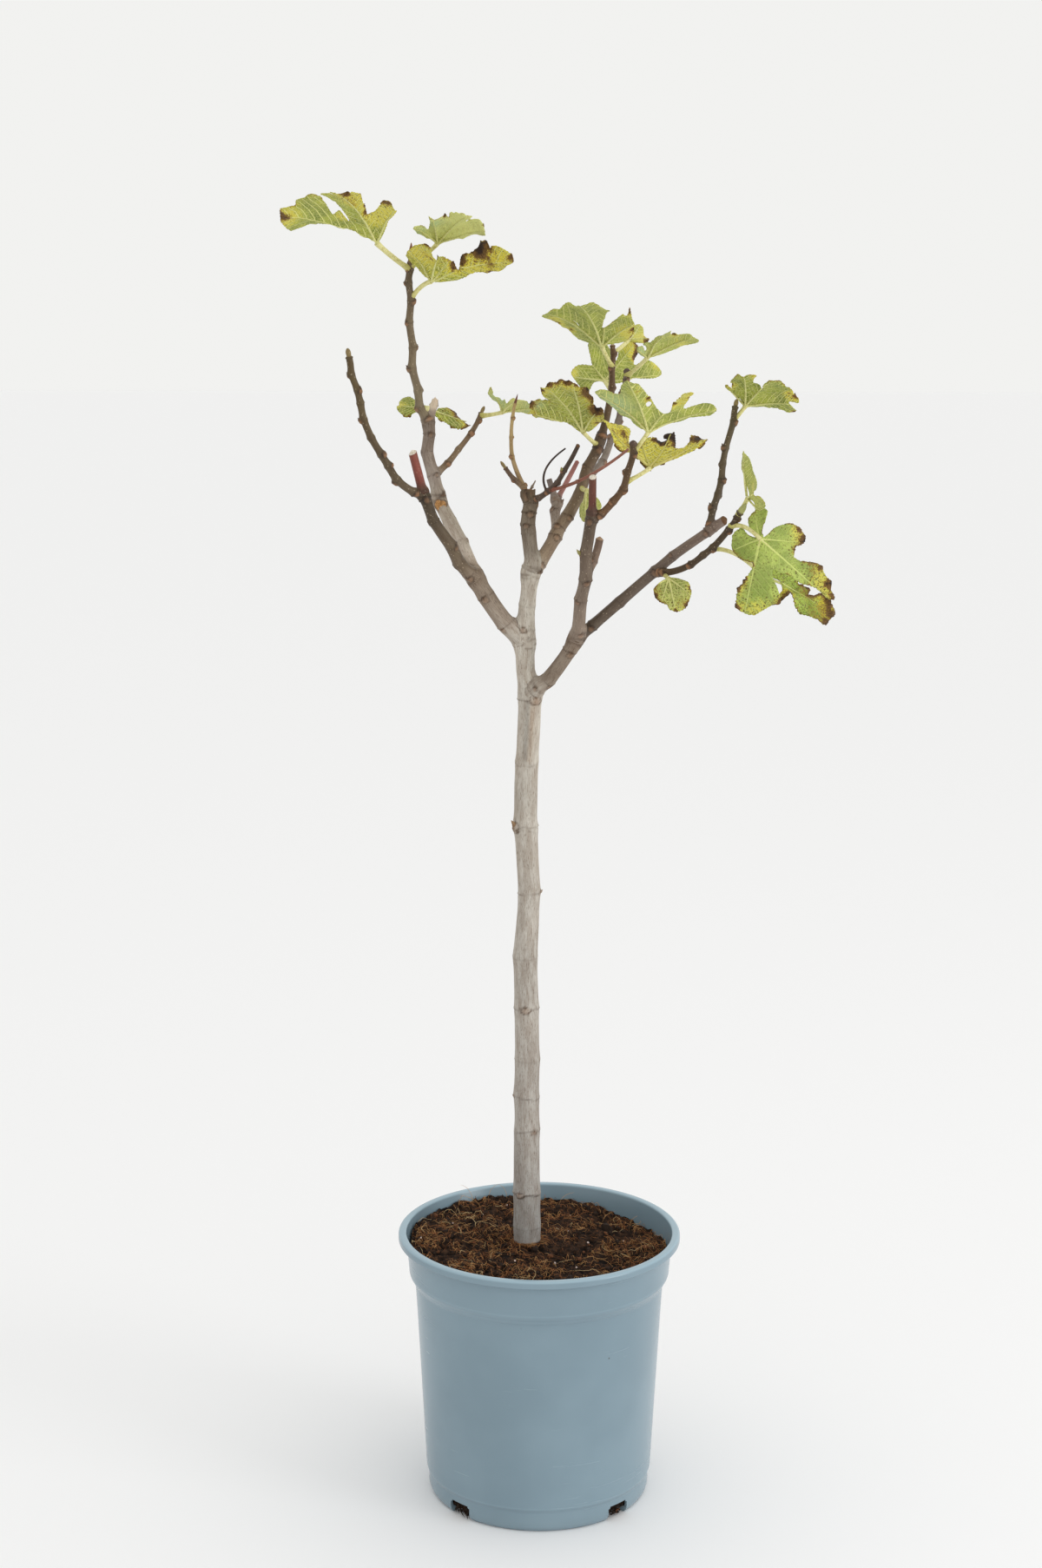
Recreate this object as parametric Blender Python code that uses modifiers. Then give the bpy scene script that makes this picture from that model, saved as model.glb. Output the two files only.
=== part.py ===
"""Fig tree grown as a short standard, standing in a round nursery pot.

Metres, +Z up. The origin is the centre of the pot's flat underside. The tree
is seen from -Y in its main view: +X is its right side, +Y its far side.
"""
import math

import bmesh
import bpy
from mathutils import Matrix, Vector

# ---------------------------------------------------------------- dimensions
GAP = 0.0003              # clearance between pieces that touch

# pot
POT_HEIGHT = 0.247        # floor to top of lip
RIM_RADIUS = 0.1285       # outside of the lip
RIM_BORE = 0.1212         # inside of the lip
LIP_HEIGHT = 0.0070
COLLAR_TOP = 0.1214       # outside radius just under the lip
COLLAR_FOOT = 0.1178      # outside radius above the collar step
COLLAR_STEP_Z = 0.2015
BODY_TOP = 0.1132         # outside radius under the collar step
BODY_FOOT = 0.1036        # outside radius above the foot step
FOOT_STEP_Z = 0.0215
FOOT_RADIUS = 0.0985      # flat underside
WALL = 0.0020
FLOOR_THICK = 0.0040
POT_SIDES = 32
SLOT_COUNT = 4            # drain slots in the foot's edge
SLOT_WIDTH = 0.0240
SLOT_HEIGHT = 0.0120
SLOT_INNER = 0.0880

# soil
SOIL_LEVEL = 0.2310
SOIL_HEAP = 0.0045        # higher to the left
SOIL_ROUGH = 0.0018
SOIL_PAD = 0.2362         # level round the trunk
PAD_RADIUS = 0.030

# trunk
TRUNK_FOOT = Vector((-0.0110, 0.0, SOIL_PAD + GAP))
TRUNK_KNEE = Vector((-0.0010, 0.006, 0.478))
TRUNK_REACH = Vector((0.0, -0.005, 0.613))
TRUNK_GIRTH = [           # share of the height, radius
    (0.00, 0.0132), (0.05, 0.0120), (0.12, 0.0113), (0.26, 0.0109),
    (0.33, 0.0105), (0.37, 0.0098), (0.43, 0.0098), (0.50, 0.0104),
    (0.60, 0.0101), (0.703, 0.0100), (0.755, 0.0084), (0.80, 0.0084),
    (0.845, 0.0082), (0.89, 0.0071), (0.93, 0.0068), (1.00, 0.0068)]
TRUNK_KINKS = [           # share of the height, shift to the right
    (0.00, 0.0000), (0.08, -0.0005), (0.115, -0.0002), (0.155, -0.0006),
    (0.193, 0.0003), (0.253, -0.0006), (0.315, -0.0019), (0.398, 0.0018),
    (0.497, -0.0021), (0.59, -0.0008), (0.65, 0.0011), (0.703, 0.0020),
    (0.755, -0.0023), (0.80, -0.0031), (0.845, -0.0027), (0.89, -0.0016),
    (0.93, -0.0003), (0.97, 0.0009), (1.00, 0.0010)]

# Each limb springs from a place on an older one: the share of that limb's
# length, then the knee and the reach of its own bent line from there, in
# millimetres (right, back, up), and its radius at foot and tip.
LIMBS = [
    # name, springs from, share, knee, reach, foot radius, tip radius
    ("bough_left", "trunk", 0.813, (-24.5, -4.2, 28), (-44, -8.4, 59.5), 8, 7.2),
    ("bough_left_front", "bough_left", 0.97, (-19, -22, 18), (-44, -35, 75), 5.9, 4.5),
    ("stub_left_front", "bough_left_front", 0.985, (-5, 1, 20), (-10, 5, 38), 3.9, 3.6),
    ("shoot_left_front", "bough_left_front", 0.980, (-42, -28, 16), (-59, -45, 116), 3.5, 2.7),
    ("bough_left_back", "bough_left", 0.970, (-19, 30, 34), (-34, 55, 64), 6.6, 5.8),
    ("bough_left_back_upper", "bough_left_back", 0.98, (-10, 6, 28), (-9, 15, 66), 5.6, 5.0),
    ("stub_left_back", "bough_left_back_upper", 0.97, (3, 2, 11), (5, 5, 22), 3.6, 2.9),
    ("shoot_left_back", "bough_left_back_upper", 0.955, (-20, 13, 40), (-15, -5, 142), 3.8, 3),
    ("twig_left_back", "bough_left_back_upper", 0.345, (26, 15, 20), (42, 30, 53), 3.0, 2.1),
    ("leader", "trunk", 0.995, (-1.3, 2, 35), (-1.6, 5, 71), 6.2, 6),
    ("twig_leader_upright", "leader", 0.930, (-23, 24, 37), (-12, 30, 77), 2.3, 1.5),
    ("twig_leader_right", "leader", 0.858, (25, -25, 10), (42, -44, 52), 2.8, 1.8),
    ("twig_leader_red", "twig_leader_right", 0.37, (29, -33, 7), (65, -57, 38), 1.5, 1.2),
    ("bough_centre", "trunk", 0.985, (38.4, 27, 54), (62, 45, 116), 6.2, 4.5),
    ("shoot_centre", "bough_centre", 0.980, (13, 16, 42), (11, 11, 82), 3.6, 2.1),
    ("bough_rear_stub", "bough_centre", 0.300, (1.5, 22, 11), (1.2, 39, 29), 3.9, 4.6),
    ("stub_rear_pink", "bough_rear_stub", 0.960, (10, 8, 17), (19.5, 15, 35), 2.3, 2),
    ("stub_rear_knob", "bough_rear_stub", 0.97, (-3, 0, 10), (-6, 0, 19), 3.0, 2.4),
    ("bough_rear", "bough_centre", 0.740, (26, 44, 8), (38, 71, 87), 3.6, 2.6),
    ("bough_right", "trunk", 0.708, (14.8, -10, 11.6), (40.4, -25, 53), 7.1, 5.8),
    ("bough_right_upright", "bough_right", 0.970, (8, -21, 50), (13, -41, 112), 5.7, 4.8),
    ("stub_right_upright", "bough_right_upright", 0.985, (0, -5, 17), (0, -10, 35), 3.4, 3.2),
    ("stub_right_side", "bough_right_upright", 0.537, (10.5, 6, 14), (12.8, 12, 33.5), 3.5, 3.4),
    ("shoot_right_upright", "bough_right_upright", 0.965, (32, -8, 20), (33, -26, 63), 3.2, 2.7),
    ("bough_right_long", "bough_right", 0.960, (74, 1, 70), (130, 1, 106), 5, 3.9),
    ("shoot_right_long", "bough_right_long", 0.870, (5, 8, 19), (24, 45, 102), 3.2, 2.6),
    ("bough_right_low", "bough_right_long", 0.495, (31, -22, -6), (67, -55, 54), 3.1, 2.6),
]
LIMB_SIDES = 8
LIMB_STEP = 0.022         # spacing of the rings along a limb

# Each leaf hangs on a stalk from a place on a limb. Its ribs fan out from the
# stalk's end; a rib is its reach in millimetres (right, back, up) and the
# share of the gap to the next rib that its lobe fills.
LEAF_THICK = 0.0012
STALK_FOOT = 0.0017       # stalk radius at the limb
STALK_TIP = 0.0013
STALK_SIDES = 6
LEAVES = [
    # name, limb, share, stalk reach, depth of the bays between lobes,
    # basal flap in degrees at the first and last rib, bow, ribs
    ("foliage_top_left_large", "shoot_left_back", 0.975, (-28, -20, 22), 0.40, (16, 24), 0.10,
     [(-81, -20, 20, 1.0), (-28, -75, 38, 1.0), (19, -40, 25, 0.8)]),
    ("foliage_top_left_small", "shoot_left_back", 0.985, (24, -6, 20), 0.62, (20, 22), 0.06,
     [(-19, -30, 12, 1.0), (-3, -45, 20, 1.0), (29, -50, 23, 1.0), (41, -25, 10, 1.0)]),
    ("foliage_top_left_folded", "shoot_left_back", 0.838, (19, -12, 16), 0.60, (20, 24), 0.08,
     [(-18, -28, 26, 0.8), (7, -50, 17, 1.0), (45, -40, 32, 0.7), (72, -15, 17, 1.0)]),
    ("foliage_left_behind", "shoot_left_back", 0.12, (3, 24, 6), 0.35, (20, 20), 0.06,
     [(-28, 10, 1, 1.0), (-18, 22, 12, 0.8), (23, 26, 4, 0.8), (38, 12, -14, 1.0)]),
    ("foliage_middle_left", "twig_left_back", 0.985, (20, -1, 3), 0.40, (22, 22), 0.06,
     [(-11, -20, 20, 0.8), (12, -30, 10, 1.0), (36, -18, 3, 1.0)]),
    ("foliage_centre_large", "bough_centre", 0.955, (-14, -24, 13), 0.80, (20, 26), 0.08,
     [(-50, -15, 15, 1.0), (-34, -50, 41, 1.0), (-11, -58, 42, 1.0), (12, -34, 20, 1.0)]),
    ("foliage_crown_top", "shoot_centre", 0.782, (-10, -17, 18), 0.72, (20, 24), 0.08,
     [(-50, -25, 29, 1.0), (-21, -65, 36, 1.0), (6, -58, 32, 0.9), (29, -28, 20, 0.9)]),
    ("foliage_crown_back", "shoot_centre", 0.935, (15, 26, 11), 0.60, (24, 24), 0.06,
     [(-12, 30, 14, 1.0), (12, 38, 14, 1.0), (26, 14, 4, 1.0)]),
    ("foliage_crown_right", "bough_rear", 0.985, (18, -19, 17), 0.62, (22, 22), 0.06,
     [(-13, -16, 7, 0.9), (16, -45, 24, 1.0), (43, -25, 17, 1.0)]),
    ("foliage_crown_rear", "bough_rear", 0.80, (-14, 16, 22), 0.42, (24, 26), 0.05,
     [(-19, 8, -17, 1.0), (-35, 0, 4, 1.0), (-20, 12, 26, 1.0), (21, 26, 24, 1.0), (43, 24, 4, 1.0)]),
    ("foliage_right_large", "shoot_right_upright", 0.93, (13, 2, 17), 0.52, (20, 20), 0.08,
     [(-45, -15, 33, 0.7), (-20, -50, 43, 1.0), (31, -40, 34, 0.7), (55, -15, 18, 1.0)]),
    ("foliage_right_yellow", "shoot_right_upright", 0.60, (21, 10, 11), 0.60, (18, 26), 0.07,
     [(-38, 15, 38, 0.8), (-6, 38, 26, 1.0), (18, 34, 24, 0.8), (46, 10, 24, 1.0)]),
    ("foliage_inner_small", "bough_centre", 0.66, (7, -24, -8), 0.75, (30, 30), 0.05,
     [(-9, 5, -18, 1.0), (-1, -3, -27, 1.0), (11, -7, -15, 1.0)]),
    ("foliage_far_right_top", "shoot_right_long", 0.93, (12, 9, 13), 0.60, (22, 20), 0.07,
     [(-20, -10, 17, 0.8), (-5, -40, 27, 1.0), (16, -45, 21, 1.0), (42, -18, 2, 1.0)]),
    ("foliage_far_right_edge", "bough_right_low", 0.985, (8, -2, 15), 0.55, (18, 18), 0.05,
     [(10, -14, -11, 0.8), (6, -36, 9, 1.0), (-6, -12, 39, 1.0)]),
    ("foliage_far_right_low", "bough_right_low", 0.90, (24, -18, -9), 0.36, (24, 26), 0.04,
     [(-3, 13, 20, 0.6), (-23, 14, -12, 1.0), (-13, -9, -64, 0.9), (60, 6, -53, 1.0), (35, 16, -5, 1.0)]),
    ("foliage_far_right_hanging", "bough_right_low", 0.68, (44, 8, -22), 0.55, (20, 24), 0.05,
     [(7, 7, -27, 0.8), (48, -2, -50, 1.0), (53, 14, -29, 0.8)]),
    ("foliage_under_right", "bough_right_low", 0.11, (4, -14, -4), 0.88, (38, 38), 0.04,
     [(-16, -5, -7, 1.0), (-7, -10, -20, 1.0), (5, -13, -25, 1.0), (17, -6, -12, 1.0)]),
]

COLOURS = {
    "pot": (0.22, 0.31, 0.37, 1.0),
    "soil": (0.045, 0.028, 0.018, 1.0),
    "bark_old": (0.42, 0.38, 0.34, 1.0),
    "bark_young": (0.16, 0.12, 0.09, 1.0),
    "bark_red": (0.20, 0.06, 0.05, 1.0),
    "leaf": (0.27, 0.36, 0.09, 1.0),
}
OLD_WOOD = ("trunk", "bough_left", "bough_right", "leader", "bough_left_back",
            "bough_left_back_upper", "bough_rear_stub", "stub_rear_knob")
RED_WOOD = ("stub_left_front", "stub_right_upright", "twig_leader_red", "stub_rear_pink")


# ------------------------------------------------------------------- helpers
for old in list(bpy.data.objects):
    bpy.data.objects.remove(old, do_unlink=True)


def collection(name):
    found = bpy.data.collections.get(name) or bpy.data.collections.new(name)
    if name not in bpy.context.scene.collection.children:
        bpy.context.scene.collection.children.link(found)
    return found


PARTS = collection("fig_tree")
CUTTERS = collection("fig_tree_cutters")


def material(name, colour, roughness):
    mat = bpy.data.materials.new(name)
    mat.use_nodes = True
    shader = mat.node_tree.nodes["Principled BSDF"]
    shader.inputs["Base Color"].default_value = colour
    shader.inputs["Roughness"].default_value = roughness
    shader.inputs["Metallic"].default_value = 0.0
    return mat


def add_object(name, mesh, mat=None, cutter=False):
    obj = bpy.data.objects.new(name, mesh)
    (CUTTERS if cutter else PARTS).objects.link(obj)
    if mat is not None:
        mesh.materials.append(mat)
    if cutter:
        obj.hide_render = True
        obj.display_type = "WIRE"
    return obj


def bent(foot, knee, reach, t):
    """A point on the bent line that leaves foot for knee and ends at reach."""
    return foot + knee * (2.0 * t * (1.0 - t)) + reach * (t * t)


def ring_count(foot, knee, reach):
    length = (knee.length + (reach - knee).length + reach.length) / 2.0
    bend = knee.angle(reach - knee, 0.0)
    return max(3, min(10, 2 + round(length / LIMB_STEP * (0.35 + bend))))


def tube_mesh(name, points, radii, sides, grow=0.0):
    """A tapered round bar along points, closed at both ends."""
    data = bpy.data.curves.new(name, "CURVE")
    data.dimensions = "3D"
    data.bevel_depth = 1.0
    data.bevel_resolution = (sides - 4) // 2
    data.use_fill_caps = True
    data.twist_mode = "MINIMUM"
    line = data.splines.new("POLY")
    line.points.add(len(points) - 1)
    line.use_smooth = True
    points = [Vector(p) for p in points]
    if grow:
        first = (points[1] - points[0]).normalized() * grow
        last = (points[-1] - points[-2]).normalized() * grow
        points[0] = points[0] - first
        points[-1] = points[-1] + last
    for place, where, radius in zip(line.points, points, radii):
        place.co = (*where, 1.0)
        place.radius = radius + grow
    guide = bpy.data.objects.new(name + "_line", data)
    CUTTERS.objects.link(guide)
    bpy.context.view_layer.update()
    graph = bpy.context.evaluated_depsgraph_get()
    mesh = bpy.data.meshes.new_from_object(guide.evaluated_get(graph))
    bpy.data.objects.remove(guide, do_unlink=True)
    bpy.data.curves.remove(data)
    work = bmesh.new()
    work.from_mesh(mesh)
    bmesh.ops.remove_doubles(work, verts=work.verts, dist=0.00001)
    bmesh.ops.recalc_face_normals(work, faces=work.faces)
    work.to_mesh(mesh)
    work.free()
    mesh.name = name
    mesh.shade_smooth()
    mesh.set_sharp_from_angle(angle=math.radians(50))
    return mesh


def turned_mesh(name, profile, sides):
    """A turned shape: a profile of (radius, height) swept round +Z."""
    mesh = bpy.data.meshes.new(name + "_profile")
    mesh.from_pydata([(r, 0.0, z) for r, z in profile],
                     [(i, i + 1) for i in range(len(profile) - 1)], [])
    shape = bpy.data.objects.new(name + "_profile", mesh)
    CUTTERS.objects.link(shape)
    screw = shape.modifiers.new("turn", "SCREW")
    screw.axis = "Z"
    screw.angle = 2.0 * math.pi
    screw.steps = sides
    screw.render_steps = sides
    screw.use_merge_vertices = True
    screw.merge_threshold = 0.00001
    bpy.context.view_layer.update()
    graph = bpy.context.evaluated_depsgraph_get()
    turned = bpy.data.meshes.new_from_object(shape.evaluated_get(graph))
    bpy.data.objects.remove(shape, do_unlink=True)
    turned.name = name
    work = bmesh.new()
    work.from_mesh(turned)
    bmesh.ops.recalc_face_normals(work, faces=work.faces)
    work.to_mesh(turned)
    work.free()
    return turned


def cut(obj, cutter, operation="DIFFERENCE", solver="EXACT"):
    step = obj.modifiers.new("with_" + cutter.name[:40], "BOOLEAN")
    step.operation = operation
    step.solver = solver
    step.object = cutter


def closed(obj):
    """Whether the cuts leave the piece one closed, filled mesh."""
    bpy.context.view_layer.update()
    shape = obj.evaluated_get(bpy.context.evaluated_depsgraph_get())
    work = bmesh.new()
    work.from_mesh(shape.to_mesh())
    good = bool(work.faces) and all(len(edge.link_faces) == 2 for edge in work.edges)
    good = good and work.calc_volume(signed=True) > 0.0
    work.free()
    shape.to_mesh_clear()
    return good


# ----------------------------------------------------------------------- pot
def outer_radius(z):
    """Outside of the pot's wall, under the lip."""
    if z < FOOT_STEP_Z:
        return FOOT_RADIUS + 0.0030 * min(1.0, z / 0.006)
    if z < COLLAR_STEP_Z:
        share = (z - FOOT_STEP_Z) / (COLLAR_STEP_Z - FOOT_STEP_Z)
        return BODY_FOOT + (BODY_TOP - BODY_FOOT) * share
    share = (z - COLLAR_STEP_Z) / (POT_HEIGHT - LIP_HEIGHT - COLLAR_STEP_Z)
    return COLLAR_FOOT + (COLLAR_TOP - COLLAR_FOOT) * min(1.0, share)


def inner_radius(z):
    """Inside of the pot's wall: the thinnest of the steps on either side."""
    return min(outer_radius(z - 0.001), outer_radius(z), outer_radius(z + 0.001)) - WALL


lip_foot = POT_HEIGHT - LIP_HEIGHT
pot_profile = [
    (0.0, FLOOR_THICK),
    (FOOT_RADIUS - WALL - 0.0015, FLOOR_THICK),
    (inner_radius(0.006), 0.0065),
    (inner_radius(0.018), FOOT_STEP_Z - 0.002),
    (inner_radius(FOOT_STEP_Z + 0.004), FOOT_STEP_Z + 0.003),
    (inner_radius(COLLAR_STEP_Z - 0.006), COLLAR_STEP_Z - 0.003),
    (inner_radius(COLLAR_STEP_Z + 0.004), COLLAR_STEP_Z + 0.003),
    (inner_radius(lip_foot), lip_foot),
    (RIM_BORE, POT_HEIGHT - 0.0008),
    (RIM_BORE + 0.0012, POT_HEIGHT),
    (RIM_RADIUS - 0.0016, POT_HEIGHT),
    (RIM_RADIUS, POT_HEIGHT - 0.0020),
    (RIM_RADIUS - 0.0002, lip_foot + 0.0008),
    (RIM_RADIUS - 0.0012, lip_foot),
    (outer_radius(lip_foot), lip_foot),
    (COLLAR_FOOT, COLLAR_STEP_Z + 0.0035),
    (COLLAR_FOOT - 0.0012, COLLAR_STEP_Z + 0.0010),
    (BODY_TOP, COLLAR_STEP_Z - 0.0020),
    (BODY_FOOT, FOOT_STEP_Z + 0.0010),
    (outer_radius(0.010), FOOT_STEP_Z - 0.0015),
    (outer_radius(0.006), 0.0060),
    (FOOT_RADIUS, 0.0),
    (0.0, 0.0),
]
pot = add_object("pot", turned_mesh("pot", pot_profile, POT_SIDES),
                 material("pot_plastic", COLOURS["pot"], 0.45))
pot.data.shade_smooth()
pot.data.set_sharp_from_angle(angle=math.radians(35))

for index in range(SLOT_COUNT):
    turn = math.radians(45 + 360.0 / SLOT_COUNT * index)
    box = bmesh.new()
    bmesh.ops.create_cube(box, size=1.0)
    length = RIM_RADIUS - SLOT_INNER
    bmesh.ops.scale(box, vec=(length, SLOT_WIDTH, SLOT_HEIGHT + 0.010), verts=box.verts)
    bmesh.ops.translate(box, vec=(SLOT_INNER + length / 2, 0, (SLOT_HEIGHT - 0.010) / 2), verts=box.verts)
    bmesh.ops.rotate(box, cent=(0, 0, 0), matrix=Matrix.Rotation(turn, 3, "Z"), verts=box.verts)
    slot_mesh = bpy.data.meshes.new("drain_slot_%d" % index)
    box.to_mesh(slot_mesh)
    box.free()
    cut(pot, add_object("drain_slot_%d" % index, slot_mesh, cutter=True))


# ---------------------------------------------------------------------- soil
def smooth(edge0, edge1, value):
    share = max(0.0, min(1.0, (value - edge0) / (edge1 - edge0)))
    return share * share * (3.0 - 2.0 * share)


def soil_height(x, y):
    """Uneven top of the soil, heaped to the left and level round the trunk."""
    heap = SOIL_LEVEL - SOIL_HEAP * x / RIM_BORE + 0.0015 * math.sin(9 * y / RIM_BORE)
    rough = SOIL_ROUGH * math.sin(70 * x + 1.0) * math.cos(85 * y + 0.4)
    away = math.hypot(x - TRUNK_FOOT.x, y - TRUNK_FOOT.y)
    return SOIL_PAD + (min(heap + rough, SOIL_PAD) - SOIL_PAD) * smooth(PAD_RADIUS, 0.055, away)


soil_edge = inner_radius(SOIL_LEVEL - 0.008) - 0.0006
top_rings = [soil_edge * share for share in (0.72, 0.42, 0.18)]
soil_profile = [(0.0, SOIL_LEVEL)] + [(r, SOIL_LEVEL) for r in reversed(top_rings)]
soil_profile += [
    (soil_edge, SOIL_LEVEL),
    (inner_radius(COLLAR_STEP_Z + 0.004) - 0.0006, COLLAR_STEP_Z + 0.0036),
    (inner_radius(COLLAR_STEP_Z - 0.006) - 0.0006, COLLAR_STEP_Z - 0.0026),
    (inner_radius(FOOT_STEP_Z + 0.004) - 0.0006, FOOT_STEP_Z + 0.0036),
    (inner_radius(0.018) - 0.0006, FOOT_STEP_Z - 0.0016),
    (inner_radius(0.006) - 0.0010, 0.0078),
    (FOOT_RADIUS - WALL - 0.0026, FLOOR_THICK + GAP),
    (0.0, FLOOR_THICK + GAP),
]
soil_mesh = turned_mesh("soil", soil_profile, POT_SIDES)
for vertex in soil_mesh.vertices:
    if vertex.co.z > SOIL_LEVEL - 0.0005:
        vertex.co.z = soil_height(vertex.co.x, vertex.co.y)
soil_mesh.update()
soil = add_object("soil", soil_mesh, material("soil_peat", COLOURS["soil"], 0.95))


# --------------------------------------------------------------------- limbs
bark = {"old": material("bark_old", COLOURS["bark_old"], 0.85),
        "young": material("bark_young", COLOURS["bark_young"], 0.75),
        "red": material("bark_red", COLOURS["bark_red"], 0.60)}
LINES = {}      # name -> (foot, knee, reach)
PATHS = {}      # name -> ring centres
GIRTHS = {}     # name -> ring radii


def trunk_radius(share):
    for (a, ra), (b, rb) in zip(TRUNK_GIRTH, TRUNK_GIRTH[1:]):
        if share <= b:
            return ra + (rb - ra) * (share - a) / (b - a)
    return TRUNK_GIRTH[-1][1]


def crosses(name, older):
    """Whether two limbs come within touching distance."""
    for p, rp in zip(PATHS[name], GIRTHS[name]):
        for (a, b, rq) in zip(PATHS[older], PATHS[older][1:], GIRTHS[older]):
            share = max(0.0, min(1.0, (p - a).dot(b - a) / (b - a).length_squared))
            if (p - a.lerp(b, share)).length < rp + rq + 2 * GAP:
                return True
    return False


def grow(name, path, girth, sides):
    PATHS[name], GIRTHS[name] = path, girth
    kind = "old" if name in OLD_WOOD else "red" if name in RED_WOOD else "young"
    limb = add_object(name, tube_mesh(name, path, girth, sides), bark[kind])
    for older in list(PATHS):
        if older != name and crosses(name, older):
            tool = bpy.data.objects.get("round_" + older)
            if tool is None:
                older_sides = 12 if older == "trunk" else LIMB_SIDES
                tool = add_object("round_" + older, tube_mesh(
                    "round_" + older, PATHS[older], GIRTHS[older], older_sides, grow=GAP), cutter=True)
            cut(limb, tool)
    if limb.modifiers and not closed(limb):
        for step in limb.modifiers:
            step.solver = "MANIFOLD"
    return limb


def trunk_kink(share):
    for (a, ka), (b, kb) in zip(TRUNK_KINKS, TRUNK_KINKS[1:]):
        if share <= b:
            return Vector((ka + (kb - ka) * (share - a) / (b - a), 0.0, 0.0))
    return Vector((TRUNK_KINKS[-1][1], 0.0, 0.0))


trunk_shares = [0.0, 0.02, 0.06, 0.193, 0.315, 0.398, 0.497, 0.59, 0.65, 0.703,
                0.755, 0.80, 0.845, 0.89, 0.93, 1.0]
trunk_path = [bent(TRUNK_FOOT, TRUNK_KNEE, TRUNK_REACH, t) + trunk_kink(t) for t in trunk_shares]
trunk_path[1] = TRUNK_FOOT + Vector((0, 0, 0.010))
LINES["trunk"] = (TRUNK_FOOT, TRUNK_KNEE, TRUNK_REACH)
grow("trunk", trunk_path, [trunk_radius(t) for t in trunk_shares], 12)

for name, older, share, knee, reach, thick, thin in LIMBS:
    foot = bent(*LINES[older], share)
    if older == "trunk":
        foot = foot + trunk_kink(share)
    knee, reach = Vector(knee) / 1000.0, Vector(reach) / 1000.0
    LINES[name] = (foot, knee, reach)
    rings = ring_count(foot, knee, reach)
    shares = [i / (rings - 1) for i in range(rings)]
    grow(name, [bent(foot, knee, reach, t) for t in shares],
         [(thick + (thin - thick) * t) / 1000.0 for t in shares], LIMB_SIDES)


# -------------------------------------------------------------------- leaves
LOBE = (0.0, 0.45, 0.84)             # places across half a lobe
leaf_material = material("leaf_green", COLOURS["leaf"], 0.6)


def turned_between(a, b, share):
    """Unit vector turned from a towards b, or past either of them."""
    angle = a.angle(b)
    return (a * math.sin((1 - share) * angle) + b * math.sin(share * angle)) / math.sin(angle)


def leaf_outline(ribs, bay, flaps):
    """Outline samples (direction, radius) round the fan of ribs."""
    lengths = [rib.length for rib in ribs]
    units = [rib.normalized() for rib in ribs]
    rounded = [(1.0 - q ** 2.4) ** 0.7 for q in LOBE]
    samples = []

    def side(first, second, low, high, length, floor_radius, outward):
        """Half a lobe, from its rib at share low to its edge at share high."""
        places = list(zip(LOBE, rounded)) + [(1.0, 0.0)]
        picked = places[1:] if outward else list(reversed(places))
        for q, full in picked:
            share = low + (high - low) * q
            radius = floor_radius + (length - floor_radius) * full
            samples.append((turned_between(first, second, share), radius))

    last = len(ribs) - 1
    flap = math.radians(flaps[0]) / units[0].angle(units[1])
    side(units[0], units[1], 0.0, -flap, lengths[0], 0.14 * lengths[0], outward=False)
    for i in range(last):
        weight = widths[i] / (widths[i] + widths[i + 1])
        floor_radius = bay * min(lengths[i], lengths[i + 1])
        side(units[i], units[i + 1], 0.0, weight, lengths[i], floor_radius, outward=True)
        side(units[i], units[i + 1], 1.0, weight, lengths[i + 1], floor_radius, outward=False)
        del samples[-len(LOBE) - 1]          # the bay's own point comes once
    flap = 1.0 + math.radians(flaps[1]) / units[last - 1].angle(units[last])
    side(units[last - 1], units[last], 1.0, flap, lengths[last], 0.14 * lengths[last], outward=True)
    return samples


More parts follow.
